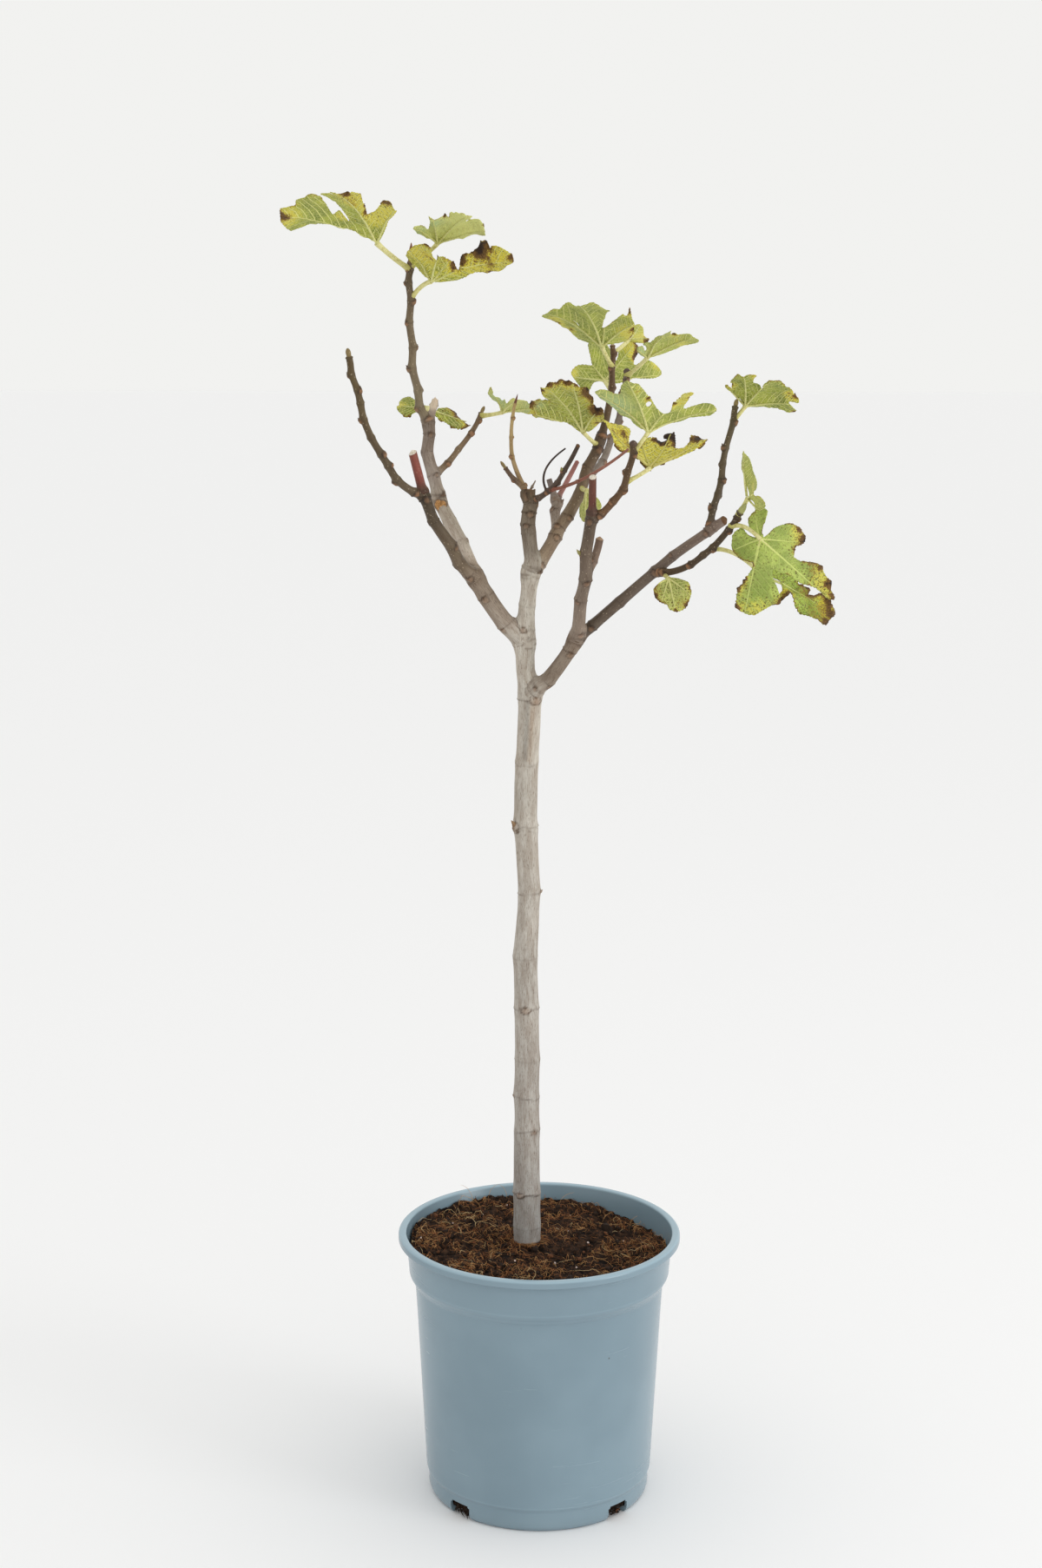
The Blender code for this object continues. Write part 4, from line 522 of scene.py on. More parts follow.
def leaf_side(name, under):
    """One side of the blades. The veins come from where a point lies by its
    rib; the autumn tints from the marks set on the blade."""
    g = Graph(name, 0.62 if under else 0.50, 0.22 if under else 0.30)
    flat = g.at("flat", "Vector")
    phase, across = g.uv("veins")[0], g.uv("veins")[1]
    share, edge = g.uv("place")[0], g.uv("place")[1]
    turn, dry, pale, speckle = g.at("turn"), g.at("dry"), g.at("pale"), g.at("speckle")
    wide = g.noise(g.scaled(flat, (0.07, 0.07, 0.07)), 1.0, 3.0, 0.6)
    fine = g.noise(g.scaled(flat, (0.55, 0.55, 0.55)), 1.0, 4.0, 0.65)

    off_rib = g.sum("ABSOLUTE", across)
    rib_width = g.sum("MULTIPLY_ADD", share, -0.60, 0.86)
    rib = g.ramp(g.sum("SUBTRACT", off_rib, rib_width), -0.12, 0.22, 1.0, 0.0)
    wobble = g.sum("MULTIPLY_ADD", wide, 0.5, phase)
    gap = g.sum("PINGPONG", wobble, 0.5)
    side = g.ramp(gap, 0.042, 0.082, 1.0, 0.0)
    net = g.ramp(g.cells(g.scaled(flat, (0.36, 0.36, 0.36)), 1.0, "DISTANCE_TO_EDGE"), 0.022, 0.095, 1.0, 0.0)
    small_net = g.ramp(g.cells(g.scaled(flat, (0.85, 0.85, 0.85)), 1.0, "DISTANCE_TO_EDGE"), 0.02, 0.18, 1.0, 0.0)

    if under:
        green, light = linear(92, 112, 14), linear(152, 164, 44)
        yellow, vein = linear(208, 194, 52), linear(232, 230, 146)
    else:
        green, light = linear(108, 136, 30), linear(164, 186, 76)
        yellow, vein = linear(200, 190, 50), linear(212, 222, 128)
    colour = g.mix(g.ramp(wide, 0.38, 0.62), green, light)
    colour = g.mix(g.sum("MULTIPLY", g.ramp(fine, 0.48, 0.66), 0.55), colour, g.mix(1.0, colour, linear(178, 176, 120), "MULTIPLY"))
    between = g.sum("MULTIPLY", g.ramp(gap, 0.10, 0.42), 0.10)
    yellowing = g.sum("ADD", turn, g.sum("ADD", between, g.sum("MULTIPLY_ADD", fine, 1.1, -0.55)))
    colour = g.mix(g.ramp(yellowing, 0.24, 0.72), colour, yellow)
    # painted glow: each leaf paled by its own amount towards yellow-green, for light shining through the blade
    colour = g.mix(g.at("light"), colour, linear(212, 216, 136))
    # painted reflection on turned lobes: a paler, bluer green
    colour = g.mix(g.sum("MULTIPLY", pale, 0.85), colour, linear(160, 186, 142) if under else linear(144, 174, 104))
    veins = g.sum("MAXIMUM", g.sum("MULTIPLY", side, 0.95 if under else 0.36),
                  g.sum("MAXIMUM", g.sum("MULTIPLY", net, 0.48 if under else 0.20), g.sum("MULTIPLY", small_net, 0.20 if under else 0.08)))
    veins = g.sum("MAXIMUM", veins, g.sum("MULTIPLY", rib, 1.0 if under else 0.80))
    spot_noise = g.cells(g.scaled(flat, (0.34, 0.34, 0.34)), 1.0, "F1")
    small_spot = g.cells(g.scaled(flat, (0.80, 0.80, 0.80)), 1.0, "F1")
    patchy = g.ramp(g.sum("MULTIPLY_ADD", speckle, 0.35, g.sum("MULTIPLY_ADD", wide, 1.0, -0.12)), 0.36, 0.66)
    near_edge = g.ramp(edge, 12.0, 2.0)
    spots = g.sum("MAXIMUM", g.ramp(spot_noise, 0.14, 0.34, 1.0, 0.0), g.sum("MULTIPLY", g.ramp(small_spot, 0.18, 0.40, 1.0, 0.0), 0.80))
    amount = g.sum("MULTIPLY", patchy, g.sum("MULTIPLY", g.sum("MULTIPLY_ADD", turn, 0.7, speckle), g.sum("MULTIPLY_ADD", near_edge, 0.50, 0.65)))
    colour = g.mix(g.sum("MULTIPLY", spots, amount, clamp=True), colour, linear(90, 78, 22))
    colour = g.mix(g.sum("MULTIPLY", veins, g.sum("MULTIPLY_ADD", dry, -0.70, 1.0), clamp=True), colour, vein)
    grit = g.noise(g.scaled(flat, (1.25, 1.25, 1.25)), 1.0, 3.0, 0.6)
    withered = g.sum("ADD", dry, g.sum("ADD", g.sum("MULTIPLY_ADD", fine, 1.2, -0.60), g.sum("MULTIPLY_ADD", grit, 1.2, -0.60)))
    halo = g.mix(g.ramp(withered, 0.26, 0.46), colour, g.mix(0.55, colour, linear(166, 126, 36)))
    brown = g.mix(g.ramp(fine, 0.35, 0.65), linear(72, 50, 26), linear(128, 94, 46))
    brown = g.mix(g.ramp(dry, 0.95, 1.6), brown, linear(50, 34, 24))
    colour = g.mix(g.ramp(withered, 0.44, 0.60), halo, brown)
    relief = g.sum("MULTIPLY_ADD", rib, 1.0, g.sum("MULTIPLY_ADD", side, 0.8, g.sum("MULTIPLY", net, 0.3)))
    relief = g.sum("MULTIPLY", relief, 1.0 if under else -1.0)
    return g.finish(colour, None, g.sum("MULTIPLY_ADD", fine, 0.3, relief), 0.0006, 0.7)


def stalk_material():
    g = Graph("leaf_stalk", 0.5, 0.4)
    grain = g.at("flat", "Vector")
    tone = g.at("tone", "Color")
    spot = g.noise(g.scaled(grain, (0.5, 0.5, 0.5)), 1.0, 3.0, 0.6)
    colour = g.mix(g.ramp(spot, 0.45, 0.75), tone, g.mix(1.0, tone, linear(214, 204, 170), "MULTIPLY"))
    return g.finish(colour, None, spot, 0.0002, 0.4)


UNDERSIDE, UPPERSIDE, STALK = leaf_side("leaf_underside", True), leaf_side("leaf_upper_side", False), stalk_material()

# --------------------------------------------------------------------- limbs
LINES = {"trunk": tuple(np.array(v, float) for v in (TRUNK_FOOT, TRUNK_KNEE, TRUNK_REACH))}
GIRTH = {"trunk": TRUNK_GIRTH}
PARENT, FROM = {"trunk": None}, {}
for name, older, share, knee, reach, thick, thin in LIMBS:
    springs = bent(*LINES[older], share)
    if older == "trunk":
        springs = springs + (np.interp(share, *zip(*TRUNK_KINKS)), 0.0, 0.0)
    LINES[name] = (springs, np.array(knee, float), np.array(reach, float))
    GIRTH[name] = [(0.0, thick), (1.0, thin)]
    PARENT[name], FROM[name] = older, share


def radius_at(name, share):
    places, sizes = zip(*GIRTH[name])
    return np.interp(share, places, sizes)


def axis_shift(name, shares):
    """How far the axis leaves its smooth line, from node to node."""
    shares = np.asarray(shares, float)
    if name == "trunk":
        places, right = zip(*TRUNK_KINKS)
        return np.stack([np.interp(shares, places, right), 0 * shares, 0 * shares], 1)
    size = 0.44 * radius_at(name, 1.0)
    rows = [(0.0, (0.0, 0.0))] + [(n[0], unit(n[2]) * size) for n in LIMB_LOOKS[name][4] if n[2]] + [(1.0, (0.0, 0.0))]
    rows = [row for i, row in enumerate(rows) if i == 0 or row[0] > rows[i - 1][0]]
    places = [row[0] for row in rows]
    fade = smooth(0.0, 0.12, shares) * smooth(1.0, 0.93, shares)
    right = np.interp(shares, places, [row[1][0] for row in rows]) * fade
    back = np.interp(shares, places, [row[1][1] for row in rows]) * fade
    return np.stack([right, back, 0 * shares], 1)


AXES = {}
for name in LINES:
    shares = np.linspace(0.0, 1.0, 90 if name == "trunk" else 40)
    AXES[name] = (bent(*LINES[name], shares) + axis_shift(name, shares), radius_at(name, shares))


def distance_to(points, name):
    """Distance from a limb's round surface, and the way out of it."""
    axis, girth = AXES[name]
    a, ab = axis[:-1], axis[1:] - axis[:-1]
    found, way = np.empty(len(points)), np.empty((len(points), 3))
    for i in range(0, len(points), 4000):
        p = points[i:i + 4000]
        share = np.clip(np.einsum("nmk,mk->nm", p[:, None] - a[None], ab) / (ab * ab).sum(1), 0.0, 1.0)
        near = a[None] + share[..., None] * ab[None]
        gap = np.linalg.norm(p[:, None] - near, axis=2)
        thick = girth[:-1] + share * (girth[1:] - girth[:-1])
        best = (gap - thick).argmin(1)
        rows = np.arange(len(p))
        found[i:i + 4000] = (gap - thick)[rows, best]
        way[i:i + 4000] = unit(p - near[rows, best])
    return found, way


def neighbours(name):
    near = [other for other in LINES if PARENT[other] == name or PARENT[name] == other]
    near += [other for other in LINES if other != name and PARENT[other] == PARENT[name] and PARENT[name]
             and np.linalg.norm(LINES[other][0] - LINES[name][0]) < 9.0]
    return near


def rounded_into(name, points):
    """Moves a limb's surface onto a smooth fillet with the limbs it meets.
    Also returns how close each point is to such a crease."""
    points = points.copy()
    crease = np.zeros(len(points))
    for other in neighbours(name):
        blend = 1.15 * min(radius_at(name, 0.0 if PARENT[name] == other else 0.5), radius_at(other, 0.0))
        blend = min(blend, 7.5)
        b0, _ = distance_to(points, other)
        pick = np.where(np.abs(b0) < blend)[0]
        if not len(pick):
            continue
        weight = smooth(-0.55 * blend, -0.15 * blend, b0[pick])
        p = points[pick]
        for _ in range(4):
            a, ga = distance_to(p, name)
            b, gb = distance_to(p, other)
            h = np.clip(0.5 + 0.5 * (b - a) / blend, 0.0, 1.0)
            value = b * (1 - h) + a * h - blend * h * (1 - h)
            slope = ga * h[:, None] + gb * (1 - h)[:, None]
            size = np.maximum((slope ** 2).sum(1), 0.25)
            p = p - slope * (np.minimum(value, 0.0) / size * weight)[:, None]
        points[pick] = p
        crease[pick] = np.maximum(crease[pick], np.exp(-(b0[pick] / (0.30 * blend)) ** 2))
    return points, crease


WOOD = {"cut_white": (236, 230, 218), "cut_pink": (170, 96, 86), "cut_grey": (150, 136, 126), "cut_dark": (112, 86, 66),
        "cut_brown": (176, 150, 126), "broken": (232, 216, 192), "scarred": (168, 132, 102)}
# how steeply a cut end is sliced, its high side away from (right, back)
SLANT = {"stub_left_front": (0.75, (-0.3, -1)), "stub_right_upright": (0.45, (-0.2, -1)), "stub_right_side": (0.7, (0.1, -1)),
         "bough_right_long": (0.8, (0.2, -1)), "twig_leader_right": (0.5, (0.3, -1)), "stub_rear_pink": (0.4, (0, -1)),
         "stub_left_back": (0.25, (-0.4, -1))}
BUDS = {"bud_long": (138, 92, 68), "bud_brown": (146, 128, 84), "bud_dark": (112, 66, 48), "bud_pale": (206, 190, 160), "bud_green": (176, 178, 112), "knob": (92, 72, 66)}


def end_profile(style, r):
    """Rings past a limb's end as (advance, radius, share of the end colour)."""
    if style == "dome":
        return [(r * math.sin(a), r * math.cos(a), 0.0) for a in (0.35, 0.75, 1.1, 1.35)] + [(r, 0.02, 0.0)]
    if style == "knob":
        return [(0.4, r * 1.18, 0.1), (1.4, r * 1.34, 0.3), (2.6, r * 1.25, 0.5), (3.5, r * 0.95, 0.9), (4.3, r * 0.62, 1.0), (4.8, r * 0.3, 1.0), (4.9, 0.02, 1.0)]
    if style in ("bud_brown", "bud_pale"):      # a blunt closed bud on a knobbly tip
        return [(0.3, r * 1.16, 0.0), (1.0, r * 1.20, 0.0), (1.6, r * 0.92, 0.1), (2.0, r * 0.70, 0.9), (3.2, r * 0.76, 1.0), (4.8, r * 0.82, 1.0),
                (6.4, r * 0.72, 1.0), (7.7, r * 0.50, 1.0), (8.5, r * 0.22, 1.0), (8.7, 0.02, 1.0)]
    if style == "bud_long":                     # a long pointed one
        return [(0.5, r * 1.10, 0.0), (1.5, r * 0.95, 0.2), (3.0, r * 0.74, 0.6), (4.5, r * 0.80, 1.0), (7.5, r * 0.78, 1.0), (11.0, r * 0.62, 1.0),
                (14.5, r * 0.40, 1.0), (17.4, r * 0.16, 1.0), (18.2, 0.02, 1.0)]
    if style == "bud_green":                    # a fat one about to open
        return [(0.4, r * 1.24, 0.0), (1.4, r * 1.30, 0.1), (2.2, r * 1.05, 0.6), (3.2, r * 1.12, 1.0), (5.4, r * 1.06, 1.0), (7.8, r * 0.84, 1.0),
                (9.8, r * 0.50, 1.0), (11.2, r * 0.18, 1.0), (11.7, 0.02, 1.0)]
    if style.startswith("bud"):                 # a pointed one
        return [(0.4, r * 1.14, 0.0), (1.1, r * 1.10, 0.1), (1.6, r * 0.80, 0.6), (2.4, r * 0.86, 1.0), (4.0, r * 0.78, 1.0), (6.0, r * 0.58, 1.0),
                (8.0, r * 0.36, 1.0), (9.8, r * 0.14, 1.0), (10.4, 0.02, 1.0)]
    if style == "scarred":
        return [(0.3, r * 1.03, 0.0), (0.9, r * 0.92, 0.6), (1.1, r * 0.80, 1.0), (1.3, r * 0.50, 1.0), (1.5, r * 0.2, 1.0), (1.5, 0.02, 1.0)]
    # a clean or a broken cut
    return [(0.25, r * 1.02, 0.0), (0.45, r * 0.97, 0.6), (0.50, r * 0.92, 1.0), (0.50, r * 0.60, 1.0), (0.40, r * 0.28, 1.0), (0.30, 0.02, 1.0)]


def cone(shape, foot, way, length, width, tone, seed, cell):
    """A small pointed bud."""
    way = unit(way)
    side = unit(np.cross(way, (0.3, 0.9, 0.2)))
    other = np.cross(way, side)
    rings, n = [(-0.25, 0.85), (0.0, 1.0), (0.22, 1.08), (0.48, 0.86), (0.74, 0.48), (0.93, 0.18)], 8
    points = []
    for along, size in rings:
        for k in range(n):
            turn = 2 * math.pi * k / n + 0.3 * along
            points.append(foot + way * along * length + (side * math.cos(turn) + other * math.sin(turn) * 0.8) * size * width / 2)
    points.append(foot + way * length)
    faces = [(i * n + k, i * n + (k + 1) % n, (i + 1) * n + (k + 1) % n, (i + 1) * n + k)
             for i in range(len(rings) - 1) for k in range(n)]
    faces += [((len(rings) - 1) * n + k, (len(rings) - 1) * n + (k + 1) % n, len(points) - 1) for k in range(n)]
    faces.append(tuple(reversed(range(n))))
    colour = linear(*tone)
    uv = []
    for face in faces:
        for k, i in enumerate(face):
            row, turn = divmod(i, n) if i < len(points) - 1 else (len(rings), face[0] % n)
            turn = n if len(face) < n and k in (1, 2) and turn == 0 else turn
            uv.append((0.012 + 0.03 * (cell % 32) + 0.024 * turn / n, 0.977 + 0.018 * row / len(rings)))
    shape.add(points, faces, 0,
              {"tone": [(*colour, 1.0)] * len(points), "scar": np.zeros(len(points)), "dark": np.zeros(len(points)), "grain": np.array(points) + seed},
              {"OFBake": uv})


def build_limb(name):
    slot, low_tone, high_tone, style, nodes = LIMB_LOOKS[name]
    foot, knee, reach = LINES[name]
    big = name == "trunk"
    dense = np.linspace(0.0, 1.0, 600)
    line = bent(foot, knee, reach, dense)
    length = np.concatenate([[0.0], np.cumsum(np.linalg.norm(np.diff(line, axis=0), axis=1))])
    total = length[-1]
    start = 0.0 if big else min(0.30 * radius_at(PARENT[name], 0.8), 0.3 * total)
    step = 1.5 if big else 1.0 if radius_at(name, 0.5) > 2.2 else 0.8
    sides = 56 if big else int(np.clip(round(2 * math.pi * radius_at(name, 0.5) / 1.15), 10, 40))
    count = int((total - start) / step) + 1
    along = np.linspace(start, total, count)
    shares = np.interp(along, length, dense)
    centre = bent(foot, knee, reach, shares) + axis_shift(name, shares)
    tangent = unit(np.gradient(centre, axis=0))
    girth = radius_at(name, shares)

    # rings past the end
    extra = end_profile(style, girth[-1])
    end_way = tangent[-1]
    centre = np.concatenate([centre, [centre[-1] + end_way * a for a, _, _ in extra]])
    tangent = np.concatenate([tangent, [end_way] * len(extra)])
    body = len(girth)
    girth = np.concatenate([girth, [r for _, r, _ in extra]])
    end_mix = np.concatenate([np.zeros(body), [m for _, _, m in extra]])
    along = np.concatenate([along, [total + a for a, _, _ in extra]])
    share_all = np.clip(along / total, 0.0, 1.0)

    back = unit(np.array([0.0, 1.0, 0.0]) - tangent * tangent[:, 1:2])
    other = np.cross(tangent, back)
    turns = np.arange(sides) * 2 * math.pi / sides
    n = len(centre)
    radial = back[:, None] * np.cos(turns)[None, :, None] + other[:, None] * np.sin(turns)[None, :, None]
    points = (centre[:, None] + radial * girth[:, None, None]).reshape(-1, 3)
    normal = radial.reshape(-1, 3)
    s = np.repeat(along, sides)
    theta = np.tile(turns, n)
    r = np.repeat(girth, sides)
    ring = np.repeat(np.arange(n), sides)
    seed = 17 * (list(LINES).index(name) + 1)
    crease = np.zeros(len(points))
    in_body = ring < body
    moved, crease_body = rounded_into(name, points[in_body])
    points[in_body] = moved
    crease[in_body] = crease_body
    if style == "dome":
        moved, crease_end = rounded_into(name, points[~in_body])
        points[~in_body], crease[~in_body] = moved, crease_end

    grain = np.stack([r * np.cos(theta), r * np.sin(theta), s], 1) + seed * 3.7
    relief = np.zeros(len(points))
    scar = np.zeros(len(points))
    dark = np.zeros(len(points))
    width = 0.50 + 0.035 * float(girth[0])
    young = slot != "bark_old"
    for share, ridge, faces_way, pad, bud in nodes:
        at = np.interp(share, dense, length)
        k = int(np.argmin(np.abs(along[:body] - at)))
        if faces_way:
            way = np.array([*unit(faces_way), 0.0])
            facing = math.atan2(way @ other[k], way @ back[k])
        else:
            way, facing = None, 0.0
        off = (theta - facing + math.pi) % (2 * math.pi) - math.pi
        tilt = (0.14 if faces_way else 0.0) * r * np.cos(off) + 0.55 * noise(grain * (1, 1, 0.2), 5.0, seed + 5)
        if big and pad > 5.5:           # the ring dips round the foot of a big scar
            tilt = tilt - 0.42 * pad * np.exp(-(off * r / (0.60 * pad)) ** 2)
        d = s - at - tilt
        part = 0.35 + 0.65 * smooth(-0.35, 0.45, noise(grain * (1, 1, 0.3) + at, 7.0, seed + 6) + 0.35 * np.cos(off))
        line = ridge * part * (0.95 if big else 1.0)
        relief += line * (np.exp(-(d / width) ** 2) - 0.45 * np.exp(-((d + 1.7 * width) / width) ** 2))
        relief += (0.05 if not young else 0.20 if r[0] < 4.4 else 0.08) * r * np.exp(-(d / (0.55 * r + 1.0)) ** 2)
        dark += (0.75 if not young else 0.8) * part * np.exp(-((d + 1.0 * width) / (0.75 * width)) ** 2) * min(1.0, 0.3 + 0.8 * ridge)
        if pad:
            size = pad * (1.22 if young and r[0] < 4.4 else 1.0)
            x, y = off * r / (size * 0.52), (s - at + (0.06 if big else 0.30) * size) / (size * 0.42)
            q = np.hypot(x, y) * (1.0 + 0.30 * noise(grain, 2.2, seed + 11) + 0.16 * noise(grain, 1.0, seed + 12))
            lump = 1.0 - smooth(0.55, 1.20, q)
            relief += (0.24 if young and r[0] < 4.4 else 0.13) * size * lump
            rim = np.exp(-((q - 0.66) / 0.15) ** 2) * (pad > 3.5)
            relief -= 0.35 * rim
            scar = np.maximum(scar, (0.85 if young and r[0] < 4.4 else 0.42 if young else 0.55) * (1.0 - smooth(0.60, 1.05, q)) * (1.0 - 0.6 * rim))
            dark += 0.8 * np.exp(-((q - 1.0) / 0.18) ** 2)
            # the mark of the bud above the leaf's scar
            v = np.exp(-((x / 0.26) ** 2 + ((y - 0.90) / 0.50) ** 2))
            relief += 0.10 * pad * v
            dark += 1.1 * v
    if style == "dome":
        relief *= 1.0 - 0.5 * crease
    rough = noise(grain * (1, 1, 0.10), 2.4 if not big else 3.6, seed) * (0.07 + 0.010 * r)
    rough += noise(grain * (1, 1, 0.35), 9.0, seed + 1) * (0.05 + 0.022 * r)
    relief += rough
    # painted shade in the creases where limbs meet, in patches
    crease_shade = crease * smooth(-0.1, 0.7, noise(grain * (0.5, 0.5, 1.3), 2.5, seed + 2) + 0.1)
    relief += 0.35 * crease * noise(grain * (0.4, 0.4, 1.6), 1.8, seed + 3)
    dark += 0.7 * crease_shade

    # cut, broken and scarred ends
    mix_end = np.repeat(end_mix, sides)
    lift = np.zeros(len(points))
    if name in SLANT:
        slope, low_side = SLANT[name]
        low_side = np.array([*unit(low_side), 0.0])
        towards = radial.reshape(-1, 3) @ low_side
        height = slope * girth[body - 1]
        cut_line = total - height * (1.0 + towards)
        lift = np.minimum(0.0, cut_line - s) * smooth(total - 2.2 * height - 2.0, total, s) * (r / girth[body - 1]).clip(0, 1)
        if style == "broken":
            prongs = 3.6 * np.cos(2 * theta + 0.3) + 1.3 * noise(np.stack([theta * 4, 0 * s, 0 * s], 1), 1.0, seed + 9)
            lift += smooth(total - 5.0, total, s) * prongs
            mix_end = np.maximum(mix_end, smooth(-9.0, -4.0, s - cut_line) * smooth(-0.1, 0.35, towards))
            relief += 1.5 * smooth(total - 9.0, total - 0.5, s) - 0.9 * smooth(-6.0, 0.0, s - cut_line) * smooth(0.2, 0.8, towards)
        points += np.repeat(tangent, sides, axis=0) * lift[:, None]
    if style == "scarred":
        points += np.repeat(tangent, sides, axis=0) * (smooth(total - 3.0, total, s) * 1.3 * noise(grain, 2.0, seed + 8))[:, None]
        scar = np.maximum(scar, 0.6 * smooth(total - 9.0, total - 2.0, s) * smooth(-0.3, 0.5, noise(grain, 2.2, seed + 7)))
    relief = np.where(ring >= body + 1, relief * 0.35, relief)
    points += normal * relief[:, None]

    low, high = np.array(low_tone, float), np.array(high_tone, float)
    blend = np.repeat(share_all, sides)[:, None]
    tone = low * (1 - blend) + high * blend
    older = PARENT[name]
    if older in LIMB_LOOKS:     # a collar in the older limb's colour
        here, out = FROM[name], radius_at(PARENT[name], FROM[name])
        at_foot = np.array(LIMB_LOOKS[older][1], float) * (1 - here) + np.array(LIMB_LOOKS[older][2], float) * here
        near_foot = (0.70 * smooth(out + 2.6 * radius_at(name, 0.0), 0.9 * out, s))[:, None]
        tone = tone * (1 - near_foot) + at_foot * near_foot
    tone *= (1.0 + 0.05 * noise(grain * (1, 1, 0.4), 12.0, seed + 4))[:, None]
    if big:     # a darker and a tan band under the right fork, grey dusting at the foot
        low_at, high_at = (np.interp(v, dense, length) for v in (0.592, 0.700))
        band = smooth(low_at - 3.0, low_at + 3.0, s) * smooth(high_at + 2.0, high_at - 3.0, s)
        right = -np.sin(theta) * r          # millimetres to the right of the middle, on the front
        front = np.cos(theta) < 0.2
        streak = 0.6 + 0.4 * noise(grain * (1.2, 1.2, 0.08), 2.0, seed + 13)
        tone *= 1.0 - (0.20 * band * front * streak * np.exp(-((right + 2.2) / 2.6) ** 2))[:, None]
        tan = (0.55 * band * front * streak * np.exp(-((right - 2.6) / 2.4) ** 2))[:, None]
        tone = tone * (1 - tan) + np.array((176.0, 152, 128)) * tan
        foot_grey = np.repeat(smooth(0.16, 0.0, share_all), sides)[:, None]
        tone = tone * (1 - 0.5 * foot_grey) + np.array((150.0, 150, 148)) * 0.5 * foot_grey
    end_tone = np.array(WOOD.get(style, BUDS.get(style, high_tone)), float)
    tone = tone * (1 - mix_end[:, None]) + end_tone * mix_end[:, None]
    tone = np.stack([np.power(np.clip(tone[:, c], 2, 255) / 255.0, 2.2) for c in range(3)] + [np.ones(len(tone))], 1)
    scar, dark = scar * (1 - mix_end), np.clip(dark, 0.0, 1.0) * (1 - mix_end)

    faces, kinds, uv = [], [], []
    strips = max(1, round(math.sqrt(total / (2 * math.pi * float(np.mean(girth[:body]))))))
    per = math.ceil((n - 1) / strips)
    for i in range(n - 1):
        strip, row = divmod(i, per)
        v0, v1 = 0.01 + 0.96 * row / per, 0.01 + 0.96 * (row + 1) / per
        kind = 1 if end_mix[i + 1] >= 1.0 and end_mix[i] >= 0.3 and style in WOOD else 0
        for j in range(sides):
            k = (j + 1) % sides
            faces.append((i * sides + j, i * sides + k, (i + 1) * sides + k, (i + 1) * sides + j))
            kinds.append(kind)
            u0 = (strip + 0.03 + 0.94 * j / sides) / strips
            u1 = (strip + 0.03 + 0.94 * (j + 1) / sides) / strips
            uv += [(u0, v0), (u1, v0), (u1, v1), (u0, v1)]
    last = (n - 1) * sides
    faces.append(tuple(last + j for j in range(sides)))
    kinds.append(1 if style in WOOD else 0)
    uv += [(0.98, 0.98)] * sides
    faces.append(tuple(reversed(range(sides))))
    kinds.append(0)
    uv += [(0.98, 0.98)] * sides
    shape = Shape()
    shape.add(points, faces, kinds, {"tone": tone, "scar": scar, "dark": dark, "grain": grain}, {"OFBake": uv})
    cell = 0

    for share, ridge, faces_way, pad, bud in nodes:
        if bud:
            at = np.interp(share, dense, length)
            k = int(np.argmin(np.abs(along[:body] - at)))
            way = np.array([*unit(faces_way), 0.0])
            out = unit(way - tangent[k] * (way @ tangent[k]))
            base = centre[k] + out * (girth[k] + 0.05) + tangent[k] * 0.4
            tone_bud = (156, 128, 98) if big and bud > 4 else (152, 146, 88) if bud > 4 else np.array(high_tone) * 0.85 + (10, 0, -6)
            cone(shape, base, out * 0.75 + tangent[k], bud, bud * 0.48 + 0.5, tone_bud, seed, cell)
            cell += 1
    node = [name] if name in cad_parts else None
    return shape.build(name + "_bark", [BARK[slot], CUT], node)


for name in LINES:
    build_limb(name)


def healed_wound():
    """The pale orange oval cut on the left back bough, where a limb came off."""
    foot, knee, reach = LINES["bough_left_back"]
    centre = bent(foot, knee, reach, np.array([0.89]))[0]
    out = unit(np.array([-0.10, -1.0, 0.10]))
    up = unit(np.array([-0.45, 0.25, 1.0]) - out * (np.array([-0.45, 0.25, 1.0]) @ out))
    side = np.cross(up, out)
    middle = centre + out * 5.9 + side * 0.2
    n, rows = 36, [(1.18, -2.2, 0.0), (1.10, 0.2, 0.0), (1.0, 0.9, 0.25), (0.88, 0.55, 0.9), (0.6, 0.45, 1.0), (0.3, 0.65, 1.0), (0.02, 0.6, 1.0)]
    points, tones = [], []
    bark_tone, wood = np.array((150.0, 134, 122)), np.array((222.0, 170, 112))
    for size, lift, share in rows:
        for k in range(n):
            turn = 2 * math.pi * k / n
            wobble = 1.0 + 0.10 * math.sin(3 * turn + 1) + 0.06 * math.sin(5 * turn)
            at = side * math.cos(turn) * 4.9 * size * wobble + up * math.sin(turn) * 6.6 * size * wobble
            points.append(middle + at + out * lift)
            tones.append(bark_tone * (1 - share) + wood * share)
    points, tones = np.array(points), np.array(tones)
    rough = noise(points, 1.4, 5)
    points += out * (rough * 0.45)[:, None]
    tones = tones * (0.86 + 0.16 * rough)[:, None]
    colour = np.concatenate([np.power(np.clip(tones, 2, 255) / 255, 2.2), np.ones((len(tones), 1))], 1)
    faces = [(i * n + k, i * n + (k + 1) % n, (i + 1) * n + (k + 1) % n, (i + 1) * n + k) for i in range(len(rows) - 1) for k in range(n)]
    faces.append(tuple((len(rows) - 1) * n + k for k in range(n)))
    faces.append(tuple(reversed(range(n))))
    shape = Shape()
    shape.add(points, faces, 0, {"tone": colour, "scar": np.zeros(len(points)), "dark": np.zeros(len(points)), "grain": points})
    return shape.build("wound_left_back", [CUT], None)


healed_wound()


# -------------------------------------------------------------------- leaves
def parsed(text):
    return np.array([[float(v) for v in pair.split(",")] for pair in text.split()])


